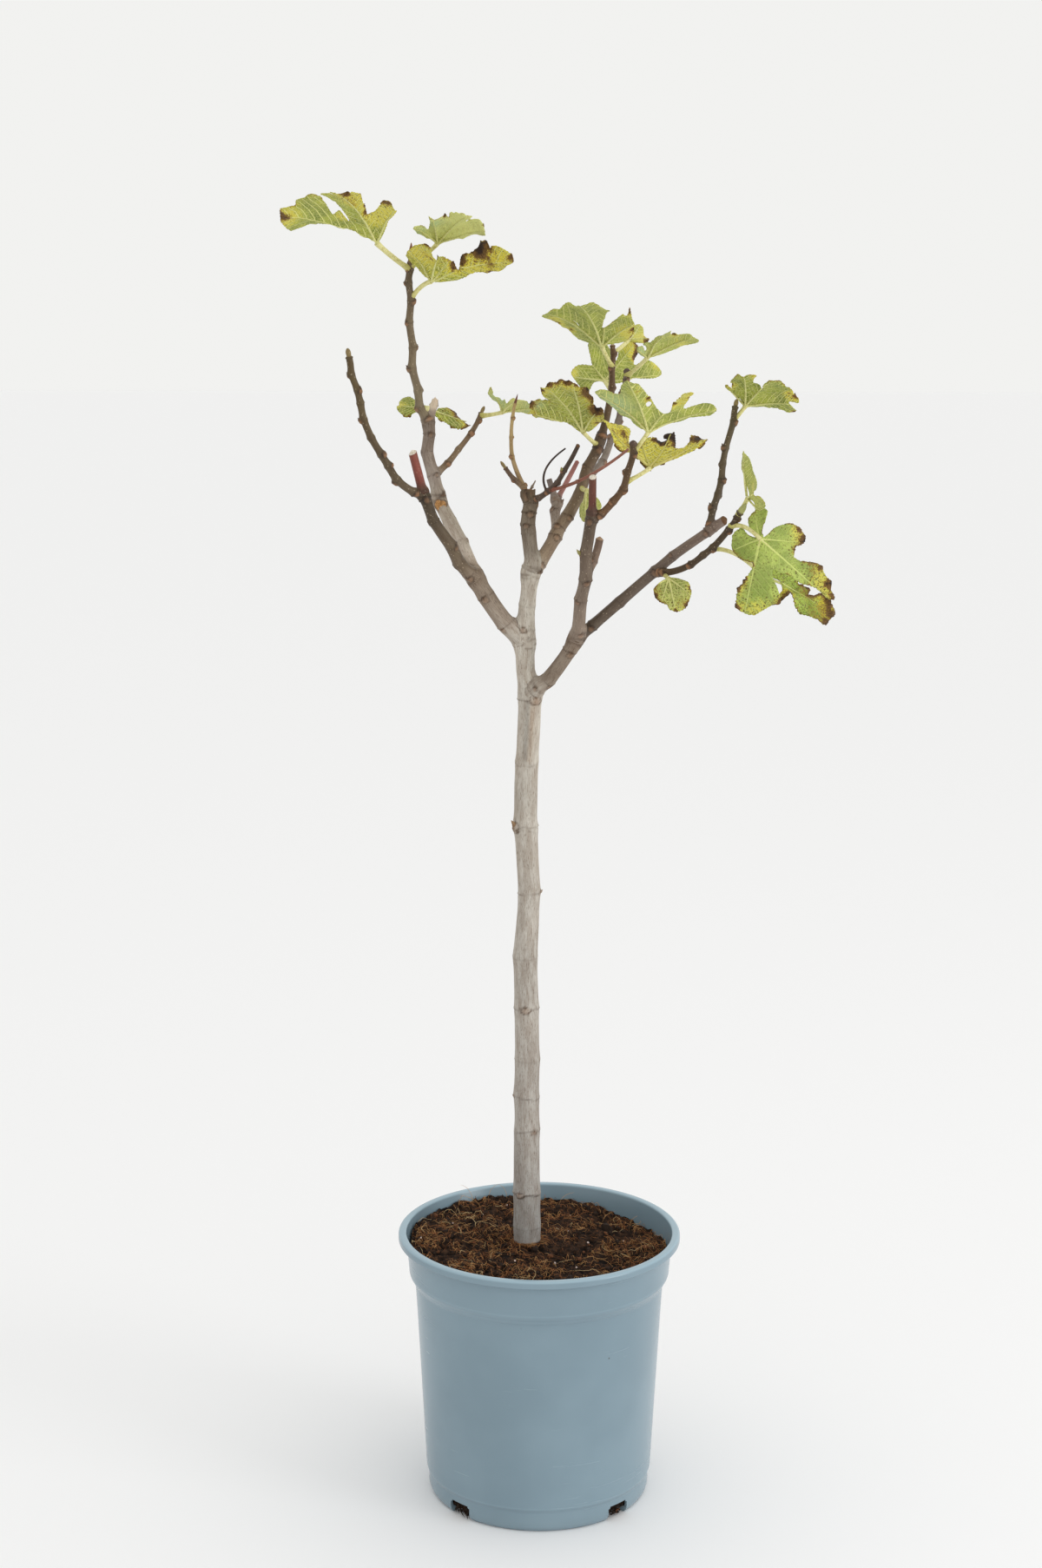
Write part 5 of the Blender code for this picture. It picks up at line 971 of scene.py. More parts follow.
class Fan:
    """The ribs of a leaf and the curved surface laid over them. A place on
    the flat pattern is turned into an angle round the stalk's end and a
    distance from it."""

    def __init__(self, row):
        foot = bent(*LINES[row["limb"]], row["share"])
        self.foot, self.hub = foot, foot + np.array(row["stalk"], float)
        ribs = np.array(row["ribs"], float)
        self.lengths = np.linalg.norm(ribs, axis=1)
        self.units = unit(ribs)
        turns = [math.acos(np.clip(a @ b, -1, 1)) for a, b in zip(self.units, self.units[1:])]
        self.angles = np.concatenate([[0.0], np.cumsum(turns)])
        self.half = self.angles[-1] / 2
        self.bow = row["bow"]
        self.lobes = np.array(row.get("lobes", [1.0] * len(ribs)), float)
        seen = np.array((-17.4, -2186.0, 1077.0)) - self.hub
        middle = self.normal(np.array([self.half]))[0]
        for_camera = 1.0 if middle @ seen > 0 else -1.0
        self.upper = for_camera if row.get("upper_in_front") else -for_camera

    def polar(self, xy):
        return np.arctan2(xy[:, 0], xy[:, 1]) + self.half, np.hypot(xy[:, 0], xy[:, 1])

    def sector(self, angle):
        i = np.clip(np.searchsorted(self.angles, angle, side="right") - 1, 0, len(self.angles) - 2)
        return i, (angle - self.angles[i]) / (self.angles[i + 1] - self.angles[i])

    def direction(self, angle):
        i, share = self.sector(angle)
        turn = (self.angles[i + 1] - self.angles[i])
        a, b = np.sin((1 - share) * turn) / np.sin(turn), np.sin(share * turn) / np.sin(turn)
        return self.units[i] * a[:, None] + self.units[i + 1] * b[:, None]

    def normal(self, angle):
        return unit(np.cross(self.direction(angle - 0.12), self.direction(angle + 0.12)))

    def rib_length(self, angle):
        i, share = self.sector(angle)
        share = np.clip(share, 0.0, 1.0)
        return self.lengths[i] * (1 - share) + self.lengths[i + 1] * share

    def nearest_rib(self, angle):
        i, share = self.sector(angle)
        split = self.lobes[i] / (self.lobes[i] + self.lobes[i + 1])
        return np.where(share > split, i + 1, i)

    def vein_place(self, angle, r, rib):
        """Vein phase, distance across from the rib and share of the way out."""
        turn = angle - self.angles[rib]
        ahead, across = r * np.cos(turn), r * np.sin(turn)
        gap = np.clip(self.lengths / 9.0, 3.4, 7.6)[rib]
        phase = (ahead - 0.72 * np.abs(across) - 0.010 * across ** 2) / gap
        return phase + 0.5 * (across > 0), across, r / self.lengths[rib]

    def place(self, xy, edge, seed, lift=0.0, curl=0.0):
        angle, r = self.polar(xy)
        way, normal = self.direction(angle), self.normal(angle)
        share = np.clip(r / self.rib_length(angle), 0.0, 1.0)
        rib = self.nearest_rib(angle)
        phase, across, _ = self.vein_place(angle, r, rib)
        deep = smooth(0.0, 9.0, edge)
        flat3 = np.stack([xy[:, 0], xy[:, 1], np.full(len(xy), seed * 31.0)], 1)
        out = self.bow * self.rib_length(angle) * 4 * share * (1 - share) * 0.8
        i, place = self.sector(angle)
        span = self.angles[i + 1] - self.angles[i]
        sag = np.sin(math.pi * np.clip(place, 0, 1)) * r * 0.10 * np.clip(span, 0, 1.2)
        puff = 0.75 * np.sin(math.pi * phase) ** 2 * deep * smooth(0.0, 4.0, np.abs(across))
        ruffle = noise(flat3, 17.0, seed) * 1.7 * (1 - deep) + noise(flat3, 7.0, seed + 1) * 0.8 * (1 - deep)
        ruffle += noise(flat3, 26.0, seed + 2) * 1.2
        rolled = curl * 3.2 * (1 - smooth(0.0, 6.0, edge))
        up = self.upper * (puff + ruffle * smooth(0.0, 12.0, r) + rolled + sag) + out
        return self.hub + way * r[:, None] + normal * (up + lift * self.upper)[:, None], normal * self.upper


def lobed_blade(fan, bay, flaps):
    """A flat pattern with one round-ended lobe on each rib."""
    across = np.linspace(0.0, 1.0, 9)
    full = (1.0 - across ** 2.4) ** 0.7
    outline = []

    def half_lobe(rib, towards, low, outward):
        order = range(len(across)) if outward else reversed(range(len(across)))
        for k in order:
            angle = fan.angles[rib] + (towards - fan.angles[rib]) * across[k]
            size = low + (fan.lengths[rib] - low) * full[k]
            outline.append((size * math.sin(angle - fan.half), size * math.cos(angle - fan.half)))

    last = len(fan.lengths) - 1
    half_lobe(0, -math.radians(flaps[0]), 0.14 * fan.lengths[0], False)
    for i in range(last):
        split = fan.angles[i] + (fan.angles[i + 1] - fan.angles[i]) * fan.lobes[i] / (fan.lobes[i] + fan.lobes[i + 1])
        low = bay * min(fan.lengths[i], fan.lengths[i + 1])
        half_lobe(i, split, low, True)
        half_lobe(i + 1, split, low, False)
    half_lobe(last, fan.angles[-1] + math.radians(flaps[1]), 0.14 * fan.lengths[-1], True)
    points = [outline[0]]
    for p in outline:
        if math.dist(p, points[-1]) > 0.8:
            points.append(p)
    return np.array(points + [(0.0, -1.0)])


def curved(points, step):
    """A closed line through the points, rounded and evenly spaced."""
    n = len(points)
    dense = []
    for i in range(n):
        a, b, c, d = (points[(i + k) % n] for k in (-1, 0, 1, 2))
        leave, arrive = 0.40 * (c - a), 0.40 * (d - b)
        for t in np.linspace(0, 1, 8, endpoint=False):
            dense.append(b * (1 + 2 * t) * (1 - t) ** 2 + c * t * t * (3 - 2 * t) + leave * t * (1 - t) ** 2 - arrive * t * t * (1 - t))
    dense = np.array(dense + [dense[0]])
    s = np.concatenate([[0.0], np.cumsum(np.linalg.norm(np.diff(dense, axis=0), axis=1))])
    count = max(12, int(s[-1] / step))
    where = np.linspace(0.0, s[-1], count, endpoint=False)
    return np.stack([np.interp(where, s, dense[:, 0]), np.interp(where, s, dense[:, 1])], 1)


def toothed(points, depth, width, seed):
    """Small blunt teeth along an outline, none near the stalk."""
    ahead, behind = np.roll(points, -1, 0), np.roll(points, 1, 0)
    way = unit(ahead - behind)
    area = 0.5 * np.sum(points[:, 0] * ahead[:, 1] - ahead[:, 0] * points[:, 1])
    out = np.stack([way[:, 1], -way[:, 0]], 1) * (1.0 if area > 0 else -1.0)
    s = np.cumsum(np.linalg.norm(ahead - points, axis=1))
    along = np.stack([s, 0 * s, 0 * s], 1)
    phase = s / width + 0.45 * noise(along, 9.0, seed)
    tooth = np.abs(np.sin(math.pi * phase)) ** 0.8 - 0.45
    size = depth * (0.75 + 0.45 * noise(along, 14.0, seed + 1)) * smooth(8.0, 18.0, np.hypot(points[:, 0], points[:, 1]))
    return points + out * (tooth * size)[:, None]


def inside(xy, outline):
    a, b = outline, np.roll(outline, -1, 0)
    x, y = xy[:, 0][:, None], xy[:, 1][:, None]
    crosses = (a[None, :, 1] > y) != (b[None, :, 1] > y)
    reach = (b[:, 0] - a[:, 0])[None] * (y - a[None, :, 1]) / np.where(b[:, 1] == a[:, 1], 1e-9, b[:, 1] - a[:, 1])[None] + a[None, :, 0]
    return (crosses & (x < reach)).sum(1) % 2 == 1


def edge_distance(xy, outlines):
    best = np.full(len(xy), 1e9)
    for outline in outlines:
        a, ab = outline, np.roll(outline, -1, 0) - outline
        p = xy[:, None] - a[None]
        t = np.clip((p * ab[None]).sum(2) / np.maximum((ab * ab).sum(1), 1e-9), 0, 1)
        best = np.minimum(best, np.linalg.norm(p - t[..., None] * ab[None], axis=2).min(1))
    return best


def tube(shape, path, radii, tone, kind, cell, sides=8, seed=0.0):
    """A round bar along path, closed at both ends, with its own cell of the baked map."""
    path = np.array(path, float)
    tangent = unit(np.gradient(path, axis=0))
    start = np.array([0.3, 0.85, 0.1])
    side = unit(start - tangent * (tangent @ start)[:, None])
    other = np.cross(tangent, side)
    turns = np.arange(sides) * 2 * math.pi / sides
    ring = side[:, None] * np.cos(turns)[None, :, None] + other[:, None] * np.sin(turns)[None, :, None]
    points = (path[:, None] + ring * np.array(radii, float)[:, None, None]).reshape(-1, 3)
    n = len(path)
    faces = [(i * sides + j, i * sides + (j + 1) % sides, (i + 1) * sides + (j + 1) % sides, (i + 1) * sides + j)
             for i in range(n - 1) for j in range(sides)]
    faces += [tuple((n - 1) * sides + j for j in range(sides)), tuple(reversed(range(sides)))]
    tone = np.asarray(tone, float)
    if tone.ndim == 1:
        tone = np.repeat(tone[None], n, axis=0)
    colour = np.concatenate([np.power(np.repeat(tone, sides, axis=0) / 255, 2.2), np.ones((n * sides, 1))], 1)
    left, low = 0.012 + 0.097 * (cell % 10), 0.938
    uv = []
    for i in range(n - 1):
        u0, u1 = left + 0.088 * i / (n - 1), left + 0.088 * (i + 1) / (n - 1)
        for j in range(sides):
            v0, v1 = low + 0.045 * j / sides, low + 0.045 * (j + 1) / sides
            uv += [(u0, v0), (u0, v1), (u1, v1), (u1, v0)]
    for u in (left + 0.0885, left - 0.0005):
        uv += [(u + 0.001 * math.cos(a), low + 0.0225 + 0.02 * math.sin(a)) for a in turns]
    shape.add(points, faces, kind, {"tone": colour, "flat": points + seed}, {"OFBake": uv})


def build_leaf(name, row, seed):
    fan = Fan(row)
    pattern = parsed(row["blade"]) if "blade" in row else lobed_blade(fan, row["bay"], row["flaps"])
    outline = toothed(curved(pattern, 1.15), 0.95, 3.1, seed)
    holes = [curved(parsed(text), 0.8) for text in row.get("holes", [])]
    outlines = [outline] + holes

    # places on the pattern: its outline, the ribs, and a fine net between
    low, high = outline.min(0), outline.max(0)
    step = 1.55
    xs = np.arange(low[0], high[0], step)
    ys = np.arange(low[1], high[1], step * 0.866)
    grid = np.array([(x + (step / 2 if j % 2 else 0), y) for j, y in enumerate(ys) for x in xs])
    grid3 = np.concatenate([grid, np.zeros((len(grid), 1))], 1)
    grid = grid + 0.22 * np.stack([noise(grid3, 1.1, seed), noise(grid3, 1.1, seed + 3)], 1)
    ribs = []
    for i, angle in enumerate(fan.angles):
        way = np.array([math.sin(angle - fan.half), math.cos(angle - fan.half)])
        line = way[None] * np.arange(1.5, fan.lengths[i] * 1.15, 1.3)[:, None]
        ok = inside(line, outline) & (edge_distance(line, outlines) > 0.8)
        stop = np.argmin(ok) if not ok.all() else len(ok)
        if stop == 0 and len(ok) > 3:      # the rib starts outside a notch by the stalk
            begin = np.argmax(ok)
            rest = ok[begin:]
            stop = begin + (np.argmin(rest) if not rest.all() else len(rest))
            ok[:begin] = False
        line = line[:stop][ok[:stop]]
        ribs.append(line)
    rib_points = np.concatenate([r for r in ribs if len(r)])
    keep = inside(grid, outline) & (edge_distance(grid, outlines) > 0.75)
    for hole in holes:
        keep &= ~inside(grid, hole)
    grid = grid[keep]
    gap = np.linalg.norm(grid[:, None] - rib_points[None], axis=2).min(1)
    grid = grid[gap > 0.95]
    places = np.concatenate([outline] + holes + [rib_points, grid])
    edges, first = [], 0
    for line in outlines:
        edges += [(first + i, first + (i + 1) % len(line)) for i in range(len(line))]
        first += len(line)
    cut = geometry.delaunay_2d_cdt([Vector(p) for p in places], edges, [], 0, 1e-4)
    xy = np.array([tuple(v) for v in cut[0]])
    tris = np.array([f for f in cut[2] if len(f) == 3])
    middle = xy[tris].mean(1)
    keep = inside(middle, outline)
    for hole in holes:
        keep &= ~inside(middle, hole)
    tris = tris[keep]
    a, b, c = xy[tris[:, 0]], xy[tris[:, 1]], xy[tris[:, 2]]
    area = 0.5 * ((b - a)[:, 0] * (c - a)[:, 1] - (b - a)[:, 1] * (c - a)[:, 0])
    tris = tris[np.abs(area) > 1e-4]
    area = area[np.abs(area) > 1e-4]
    tris = np.where((area > 0)[:, None], tris, tris[:, ::-1])
    used = np.unique(tris)
    index = np.full(len(xy), -1)
    index[used] = np.arange(len(used))
    xy, tris = xy[used], index[tris]

    # marks: turning yellow, dried brown, and a pale painted reflection on turned lobes
    edge = edge_distance(xy, outlines)
    flat3 = np.concatenate([xy, np.full((len(xy), 1), seed * 40.0)], 1)
    patch = noise(flat3, 9.0, seed + 6)
    small = noise(flat3, 3.2, seed + 8) + 0.6 * noise(flat3, 1.6, seed + 9)
    turn = row["turn"] + 0.22 * np.exp(-edge / 4.0) * (0.6 + 0.4 * patch) + 0.10 * noise(flat3, 20.0, seed + 7)
    dry = np.exp(-edge / (1.3 + 0.5 * small.clip(0))) * smooth(-0.25, 0.45, patch + 0.3 * small) * (0.22 + 0.62 * row["speckle"])
    pale = np.zeros(len(xy))
    speckle = np.full(len(xy), row["speckle"])
    for text in row.get("spots", "").split():
        x, y, size = (float(v) for v in text[1:].split(","))
        away = np.hypot(xy[:, 0] - x, xy[:, 1] - y)
        mark = np.exp(-(away / size) ** 2)
        if text[0] in "bd":
            ragged = away * (1.0 + 0.40 * small + 0.25 * patch)
            by_edge = 0.45 + 0.55 * np.exp(-(edge / 4.5) ** 2)
            mark = np.exp(-(ragged / (size * 1.15)) ** 2)
            dry += (1.9 if text[0] == "d" else 0.95) * mark * (1.0 if text[0] == "d" else by_edge)
            turn += 0.40 * np.exp(-(away / (size + 4.0)) ** 2)
        elif text[0] == "y":
            turn += 0.50 * mark
        elif text[0] == "s":
            speckle += 1.1 * mark
        elif text[0] == "m":
            dry += 0.36 * mark * (1.0 + 0.5 * patch)
            speckle += 0.8 * mark
        else:
            # p marks: painted reflection on turned lobes
            pale = np.maximum(pale, mark)
    dry = np.clip(dry, 0.0, 2.0)
    # painted glow of light through the blade, each leaf by its own amount
    light = np.clip(row.get("light", 0.0) * (1.0 + 0.35 * noise(flat3, 14.0, seed + 12)), 0.0, 0.9)

    curl = np.clip(dry, 0, 1.3)
    top, _ = fan.place(xy, edge, seed, 0.28, curl)
    under, _ = fan.place(xy, edge, seed, -0.28, curl)
    angle, r = fan.polar(xy)
    mid_angle, _ = fan.polar(xy[tris].mean(1))
    rib = np.repeat(fan.nearest_rib(mid_angle), 3)
    corner_angle, corner_r = angle[tris.ravel()], r[tris.ravel()]
    # a corner on the far side of the seam behind the stalk keeps its face's side
    phase, across, share = fan.vein_place(corner_angle, corner_r, rib)
    veins = np.stack([phase, across], 1)
    place = np.stack([share, edge[tris.ravel()]], 1)
    span = (high - low).max() + 6
    # upper and lower side take half of the baked map each, below the bars' cells
    half = 1 if (high - low)[1] <= (high - low)[0] else 0
    bake_top = (xy - low + 3) / span * 0.92
    bake_top[:, half] *= min(1.0, 0.458 / bake_top[:, half].max())
    bake_under = bake_top.copy()
    bake_under[:, half] += 0.465 if half else 0.5

    # does a triangle turned one way in the pattern face out of the top?
    p, q, t = (top[tris[:, k]] for k in range(3))
    faces_up = np.einsum("ij,ij->i", np.cross(q - p, t - p), fan.normal(mid_angle) * fan.upper)
    flip = np.median(faces_up) < 0
    order = [2, 1, 0] if flip else [0, 1, 2]
    shape = Shape()
    marks = {"flat": flat3, "turn": turn, "dry": dry, "pale": pale, "speckle": speckle, "light": light}

    def side(points, order, kind, bake):
        corners = (tris[:, order]).ravel()
        pick = (np.arange(len(tris))[:, None] * 3 + np.array(order)[None]).ravel()
        return shape.add(points, [tuple(f) for f in tris[:, order]], kind, marks,
                         {"veins": veins[pick], "place": place[pick], "OFBake": bake[corners]})

    side(top, order, 1, bake_top)
    side(under, order[::-1], 0, bake_under)
    n = len(xy)
    count = {}
    for f in tris[:, order]:
        for k in range(3):
            e = (int(f[k]), int(f[(k + 1) % 3]))
            count[e] = count.get(e, 0) + 1
    rim = [e for e in count if (e[1], e[0]) not in count]
    walls = [(b_, a_, a_ + n, b_ + n) for a_, b_ in rim]
    shape.faces += walls
    shape.kinds += [0] * len(walls)
    for key, values in (("veins", [(0.25, 9.0)] * 4), ("place", [(1.0, 0.0)] * 4)):
        shape.corner[key].append((len(shape.faces) - len(walls), len(walls), np.array(values * len(walls))))
    shape.corner["OFBake"].append((len(shape.faces) - len(walls), len(walls),
                                   np.array([bake_top[i if i < n else i - n] for f in walls for i in f])))

    # raised ribs on the underside
    tone = np.array((206, 196, 112) if row["turn"] > 0.3 else (216, 214, 142), float)
    for i, line in enumerate(ribs):
        if len(line) < 4:
            continue
        line = np.concatenate([[line[0] * 0.15], line])[: int(len(line) * 0.96) + 1]
        e = edge_distance(line, outlines)
        size = np.linspace(1.15, 0.34, len(line)) * min(1.0, fan.lengths[i] / 60 + 0.42)
        at, _ = fan.place(line, np.maximum(e, 3.0), seed, -0.28)
        way = -fan.normal(fan.polar(line)[0]) * fan.upper
        at = at + way * (size * 0.30)[:, None]
        fade = np.linspace(0, 1, len(line))[:, None]
        tube(shape, at, size, tone * (1 - 0.22 * fade) + np.array((150, 168, 90)) * 0.22 * fade, 2, i + 1, 7, seed)

    # the stalk, swollen where it leaves the limb
    reach = fan.hub - fan.foot
    limb_line = LINES[row["limb"]]
    limb_radius = float(radius_at(row["limb"], row["share"]))
    knee = reach * 0.5 + np.array([0, 0, row.get("arch", -0.06) * np.linalg.norm(reach)])
    t = np.linspace(0.0, 1.0, 16)
    path = bent(fan.foot, knee, reach, t)
    size = row.get("stalk_size", 1.8) + 1.1 * np.exp(-(np.linalg.norm(path - fan.foot, axis=1) - limb_radius).clip(0) / 2.6)
    size += 0.35 * smooth(0.8, 1.0, t)
    pale_tone, old_tone = np.array(YOUNG_STALK, float), np.array(OLD_STALK, float)
    mix = (np.exp(-((np.linalg.norm(path - fan.foot, axis=1) - limb_radius).clip(0)) / 6.0) * 0.8)[:, None]
    stalk_tone = np.array(row.get("stalk_tone", pale_tone), float)
    tube(shape, path, size, stalk_tone * (1 - mix) + old_tone * mix, 2, 0, 10, seed)
    return shape.build(name + "_leaf", [UNDERSIDE, UPPERSIDE, STALK], [name])


for index, (name, row) in enumerate(LEAVES.items()):
    build_leaf(name, row, 11 + 7 * index)


# ----------------------------------------------------------------------- pot
def outer_radius(z):
    if z < FOOT_STEP_Z:
        return FOOT_RADIUS + 3.0 * min(1.0, z / 6.0)
    if z < COLLAR_STEP_Z:
        return BODY_FOOT + (BODY_TOP - BODY_FOOT) * (z - FOOT_STEP_Z) / (COLLAR_STEP_Z - FOOT_STEP_Z)
    share = (z - COLLAR_STEP_Z) / (POT_HEIGHT - LIP_HEIGHT - COLLAR_STEP_Z)
    return COLLAR_FOOT + (COLLAR_TOP - COLLAR_FOOT) * min(1.0, share)


def inner_radius(z):
    return min(outer_radius(z - 1), outer_radius(z), outer_radius(z + 1)) - WALL


def arc(r0, z0, size, start, end, steps):
    return [(r0 + size * math.cos(math.radians(a)), z0 + size * math.sin(math.radians(a)))
            for a in np.linspace(start, end, steps)]


def pot_material():
    g = Graph("pot_plastic", 0.36, 0.5)
    where = g.node("TexCoord").outputs["Object"]
    wide = g.noise(where, 9.0, 3.0, 0.5)
    fine = g.noise(where, 260.0, 3.0, 0.6)
    up = g.node("SeparateXYZ", {0: where}).outputs
    colour = g.mix(g.ramp(wide, 0.35, 0.65), linear(120, 142, 154), linear(127, 149, 161))
    # painted highlights, a little paler, along the lip's crest and both steps; a painted shadow under the lip
    painted_highlight = g.sum("MULTIPLY", g.ramp(up[2], 0.2446, 0.2466), 0.42)
    for height in (COLLAR_STEP_Z / 1000 + 0.0095, FOOT_STEP_Z / 1000 + 0.0015):
        off = g.sum("ABSOLUTE", g.sum("SUBTRACT", up[2], height))
        painted_highlight = g.sum("ADD", painted_highlight, g.sum("MULTIPLY", g.ramp(off, 0.0002, 0.0014, 1.0, 0.0), 0.06))
    colour = g.mix(painted_highlight, colour, linear(178, 206, 220))
    # painted shadow in a thin line under the lip's overhang, on the outside only
    painted_lip_shadow = g.ramp(g.sum("ABSOLUTE", g.sum("SUBTRACT", up[2], 0.2392)), 0.0006, 0.0016, 1.0, 0.0)
    outside = g.ramp(g.node("VectorMath", {0: g.node("CombineXYZ", {0: up[0], 1: up[1]}).outputs[0]}, operation="LENGTH").outputs["Value"], 0.1211, 0.1215)
    colour = g.mix(g.sum("MULTIPLY", g.sum("MULTIPLY", painted_lip_shadow, outside), 0.50), colour, linear(62, 72, 78))
    colour = g.mix(g.sum("MULTIPLY", g.ramp(up[2], 0.030, 0.0, 0.0, 1.0), 0.10), colour, linear(150, 160, 162))
    # specks of soil, few and small
    speck = g.cells(g.node("Mapping", {"Vector": where, "Scale": (62, 62, 62)}).outputs[0])
    some = g.noise(where, 31.0, 1.0, 0.5)
    dirt = g.sum("MULTIPLY", g.ramp(speck, 0.045, 0.085, 1.0, 0.0), g.ramp(some, 0.55, 0.62))
    colour = g.mix(g.sum("MULTIPLY", dirt, 0.75), colour, linear(58, 52, 46))
    # scuffs drawn round the wall when pots are pulled from a stack
    scuff = g.noise(g.node("Mapping", {"Vector": where, "Scale": (16, 16, 300)}).outputs[0], 1.0, 3.0, 0.6)
    patch = g.noise(where, 14.0, 2.0, 0.5)
    worn = g.sum("MULTIPLY", g.ramp(scuff, 0.60, 0.74), g.ramp(patch, 0.50, 0.66))
    colour = g.mix(g.sum("MULTIPLY", worn, 0.035), colour, linear(186, 200, 206))
    rough = g.sum("MULTIPLY_ADD", worn, 0.16, g.sum("MULTIPLY_ADD", wide, 0.08, 0.19))
    return g.finish(colour, rough, g.sum("MULTIPLY_ADD", fine, 0.6, g.sum("MULTIPLY", worn, -0.4)), 0.00008, 0.5)


POT = pot_material()
lip_foot = POT_HEIGHT - LIP_HEIGHT
profile = [(0.0, FLOOR_THICK), (60.0, FLOOR_THICK), (FOOT_RADIUS - WALL - 1.5, FLOOR_THICK), (inner_radius(6), 6.5),
           (inner_radius(18), FOOT_STEP_Z - 2), (inner_radius(FOOT_STEP_Z + 4), FOOT_STEP_Z + 3)]
profile += [(inner_radius(z), z) for z in (60, 100, 140, 175)]
profile += [(inner_radius(COLLAR_STEP_Z - 6), COLLAR_STEP_Z - 3), (inner_radius(COLLAR_STEP_Z + 4) - 0.8, COLLAR_STEP_Z + 1.5),
            (inner_radius(COLLAR_STEP_Z + 4), COLLAR_STEP_Z + 4), (inner_radius(225), 225), (inner_radius(lip_foot), lip_foot)]
profile += arc(RIM_BORE + 1.6, POT_HEIGHT - 1.6, 1.6, 180, 90, 6)
profile += arc(RIM_RADIUS - 2.6, POT_HEIGHT - 2.6, 2.6, 90, 0, 9)
profile += [(RIM_RADIUS, lip_foot + 1.6)] + arc(RIM_RADIUS - 1.0, lip_foot + 1.0, 1.0, 0, -90, 5)
profile += [(outer_radius(lip_foot) + 0.8, lip_foot), (outer_radius(lip_foot) + 0.15, lip_foot - 0.5), (outer_radius(lip_foot - 2), lip_foot - 2)]
profile += [(outer_radius(225), 225)]
# the collar draws in over 14 mm to the wall, and the wall over 7 mm to the foot
for high_z, low_z, high_r, low_r in ((COLLAR_STEP_Z + 11.0, COLLAR_STEP_Z - 3.5, outer_radius(COLLAR_STEP_Z + 11.0), BODY_TOP),
                                     (FOOT_STEP_Z + 2.5, FOOT_STEP_Z - 4.5, outer_radius(FOOT_STEP_Z + 2.5), outer_radius(10))):
    for t in np.linspace(0.0, 1.0, 9):
        profile.append((high_r + (low_r - high_r) * float(smooth(0.12, 0.88, t)), high_z + (low_z - high_z) * float(t)))
    if high_z > 100:
        profile += [(outer_radius(z), z) for z in (170, 135, 100, 65, 40)]
profile += [(outer_radius(10), 12.0), (outer_radius(6), 6.0), (outer_radius(6) - 0.8, 3.2),
            (FOOT_RADIUS + 0.4, 0.9), (FOOT_RADIUS - 0.5, 0.0), (60.0, 0.0), (0.0, 0.0)]
segments = 176
ring_points, ring_faces = [], []
for r, z in profile:
    for k in range(segments):
        turn = 2 * math.pi * k / segments
        ring_points.append((r * math.cos(turn), r * math.sin(turn), z))
for i in range(len(profile) - 1):
    for k in range(segments):
        m = (k + 1) % segments
        ring_faces.append((i * segments + k, (i + 1) * segments + k, (i + 1) * segments + m, i * segments + m))
mesh = bpy.data.meshes.new("nursery_pot")
mesh.from_pydata([tuple(c / 1000 for c in p) for p in ring_points], [], ring_faces)
work = bmesh.new()
work.from_mesh(mesh)
bmesh.ops.remove_doubles(work, verts=work.verts, dist=0.000005)
bmesh.ops.dissolve_degenerate(work, dist=0.000002, edges=work.edges)
bmesh.ops.recalc_face_normals(work, faces=work.faces)
work.to_mesh(mesh)
work.free()
mesh.materials.append(POT)
pot = bpy.data.objects.new("nursery_pot", mesh)
bpy.context.scene.collection.objects.link(pot)
for index in range(4):
    turn = math.radians(45 + 90 * index)
    box = bmesh.new()
    bmesh.ops.create_cube(box, size=1.0)
    long = (RIM_RADIUS - SLOT_INNER) / 1000
    bmesh.ops.scale(box, vec=(long, SLOT_WIDTH / 1000, (SLOT_SEEN + 10) / 1000), verts=box.verts)
    bmesh.ops.translate(box, vec=(SLOT_INNER / 1000 + long / 2, 0, (SLOT_SEEN - 10) / 2000), verts=box.verts)
    bmesh.ops.bevel(box, geom=[e for e in box.edges if abs(e.verts[0].co.x - e.verts[1].co.x) > 0.02], offset=0.002, segments=3, affect="EDGES")
    bmesh.ops.rotate(box, cent=(0, 0, 0), matrix=Matrix.Rotation(turn, 3, "Z"), verts=box.verts)
    cutter_mesh = bpy.data.meshes.new("slot_cutter")
    box.to_mesh(cutter_mesh)
    box.free()
    cutter = bpy.data.objects.new("slot_cutter", cutter_mesh)
    bpy.context.scene.collection.objects.link(cutter)
    step = pot.modifiers.new("slot", "BOOLEAN")
    step.operation, step.solver, step.object = "DIFFERENCE", "EXACT", cutter
    bpy.context.view_layer.update()
    graph = bpy.context.evaluated_depsgraph_get()
    done = bpy.data.meshes.new_from_object(pot.evaluated_get(graph))
    pot.modifiers.clear()
    pot.data = done
    bpy.data.objects.remove(cutter, do_unlink=True)
pot.data.name = "nursery_pot"
pot.data.shade_smooth()
pot.data.set_sharp_from_angle(angle=math.radians(38))
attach(pot, "root")
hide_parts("pot")


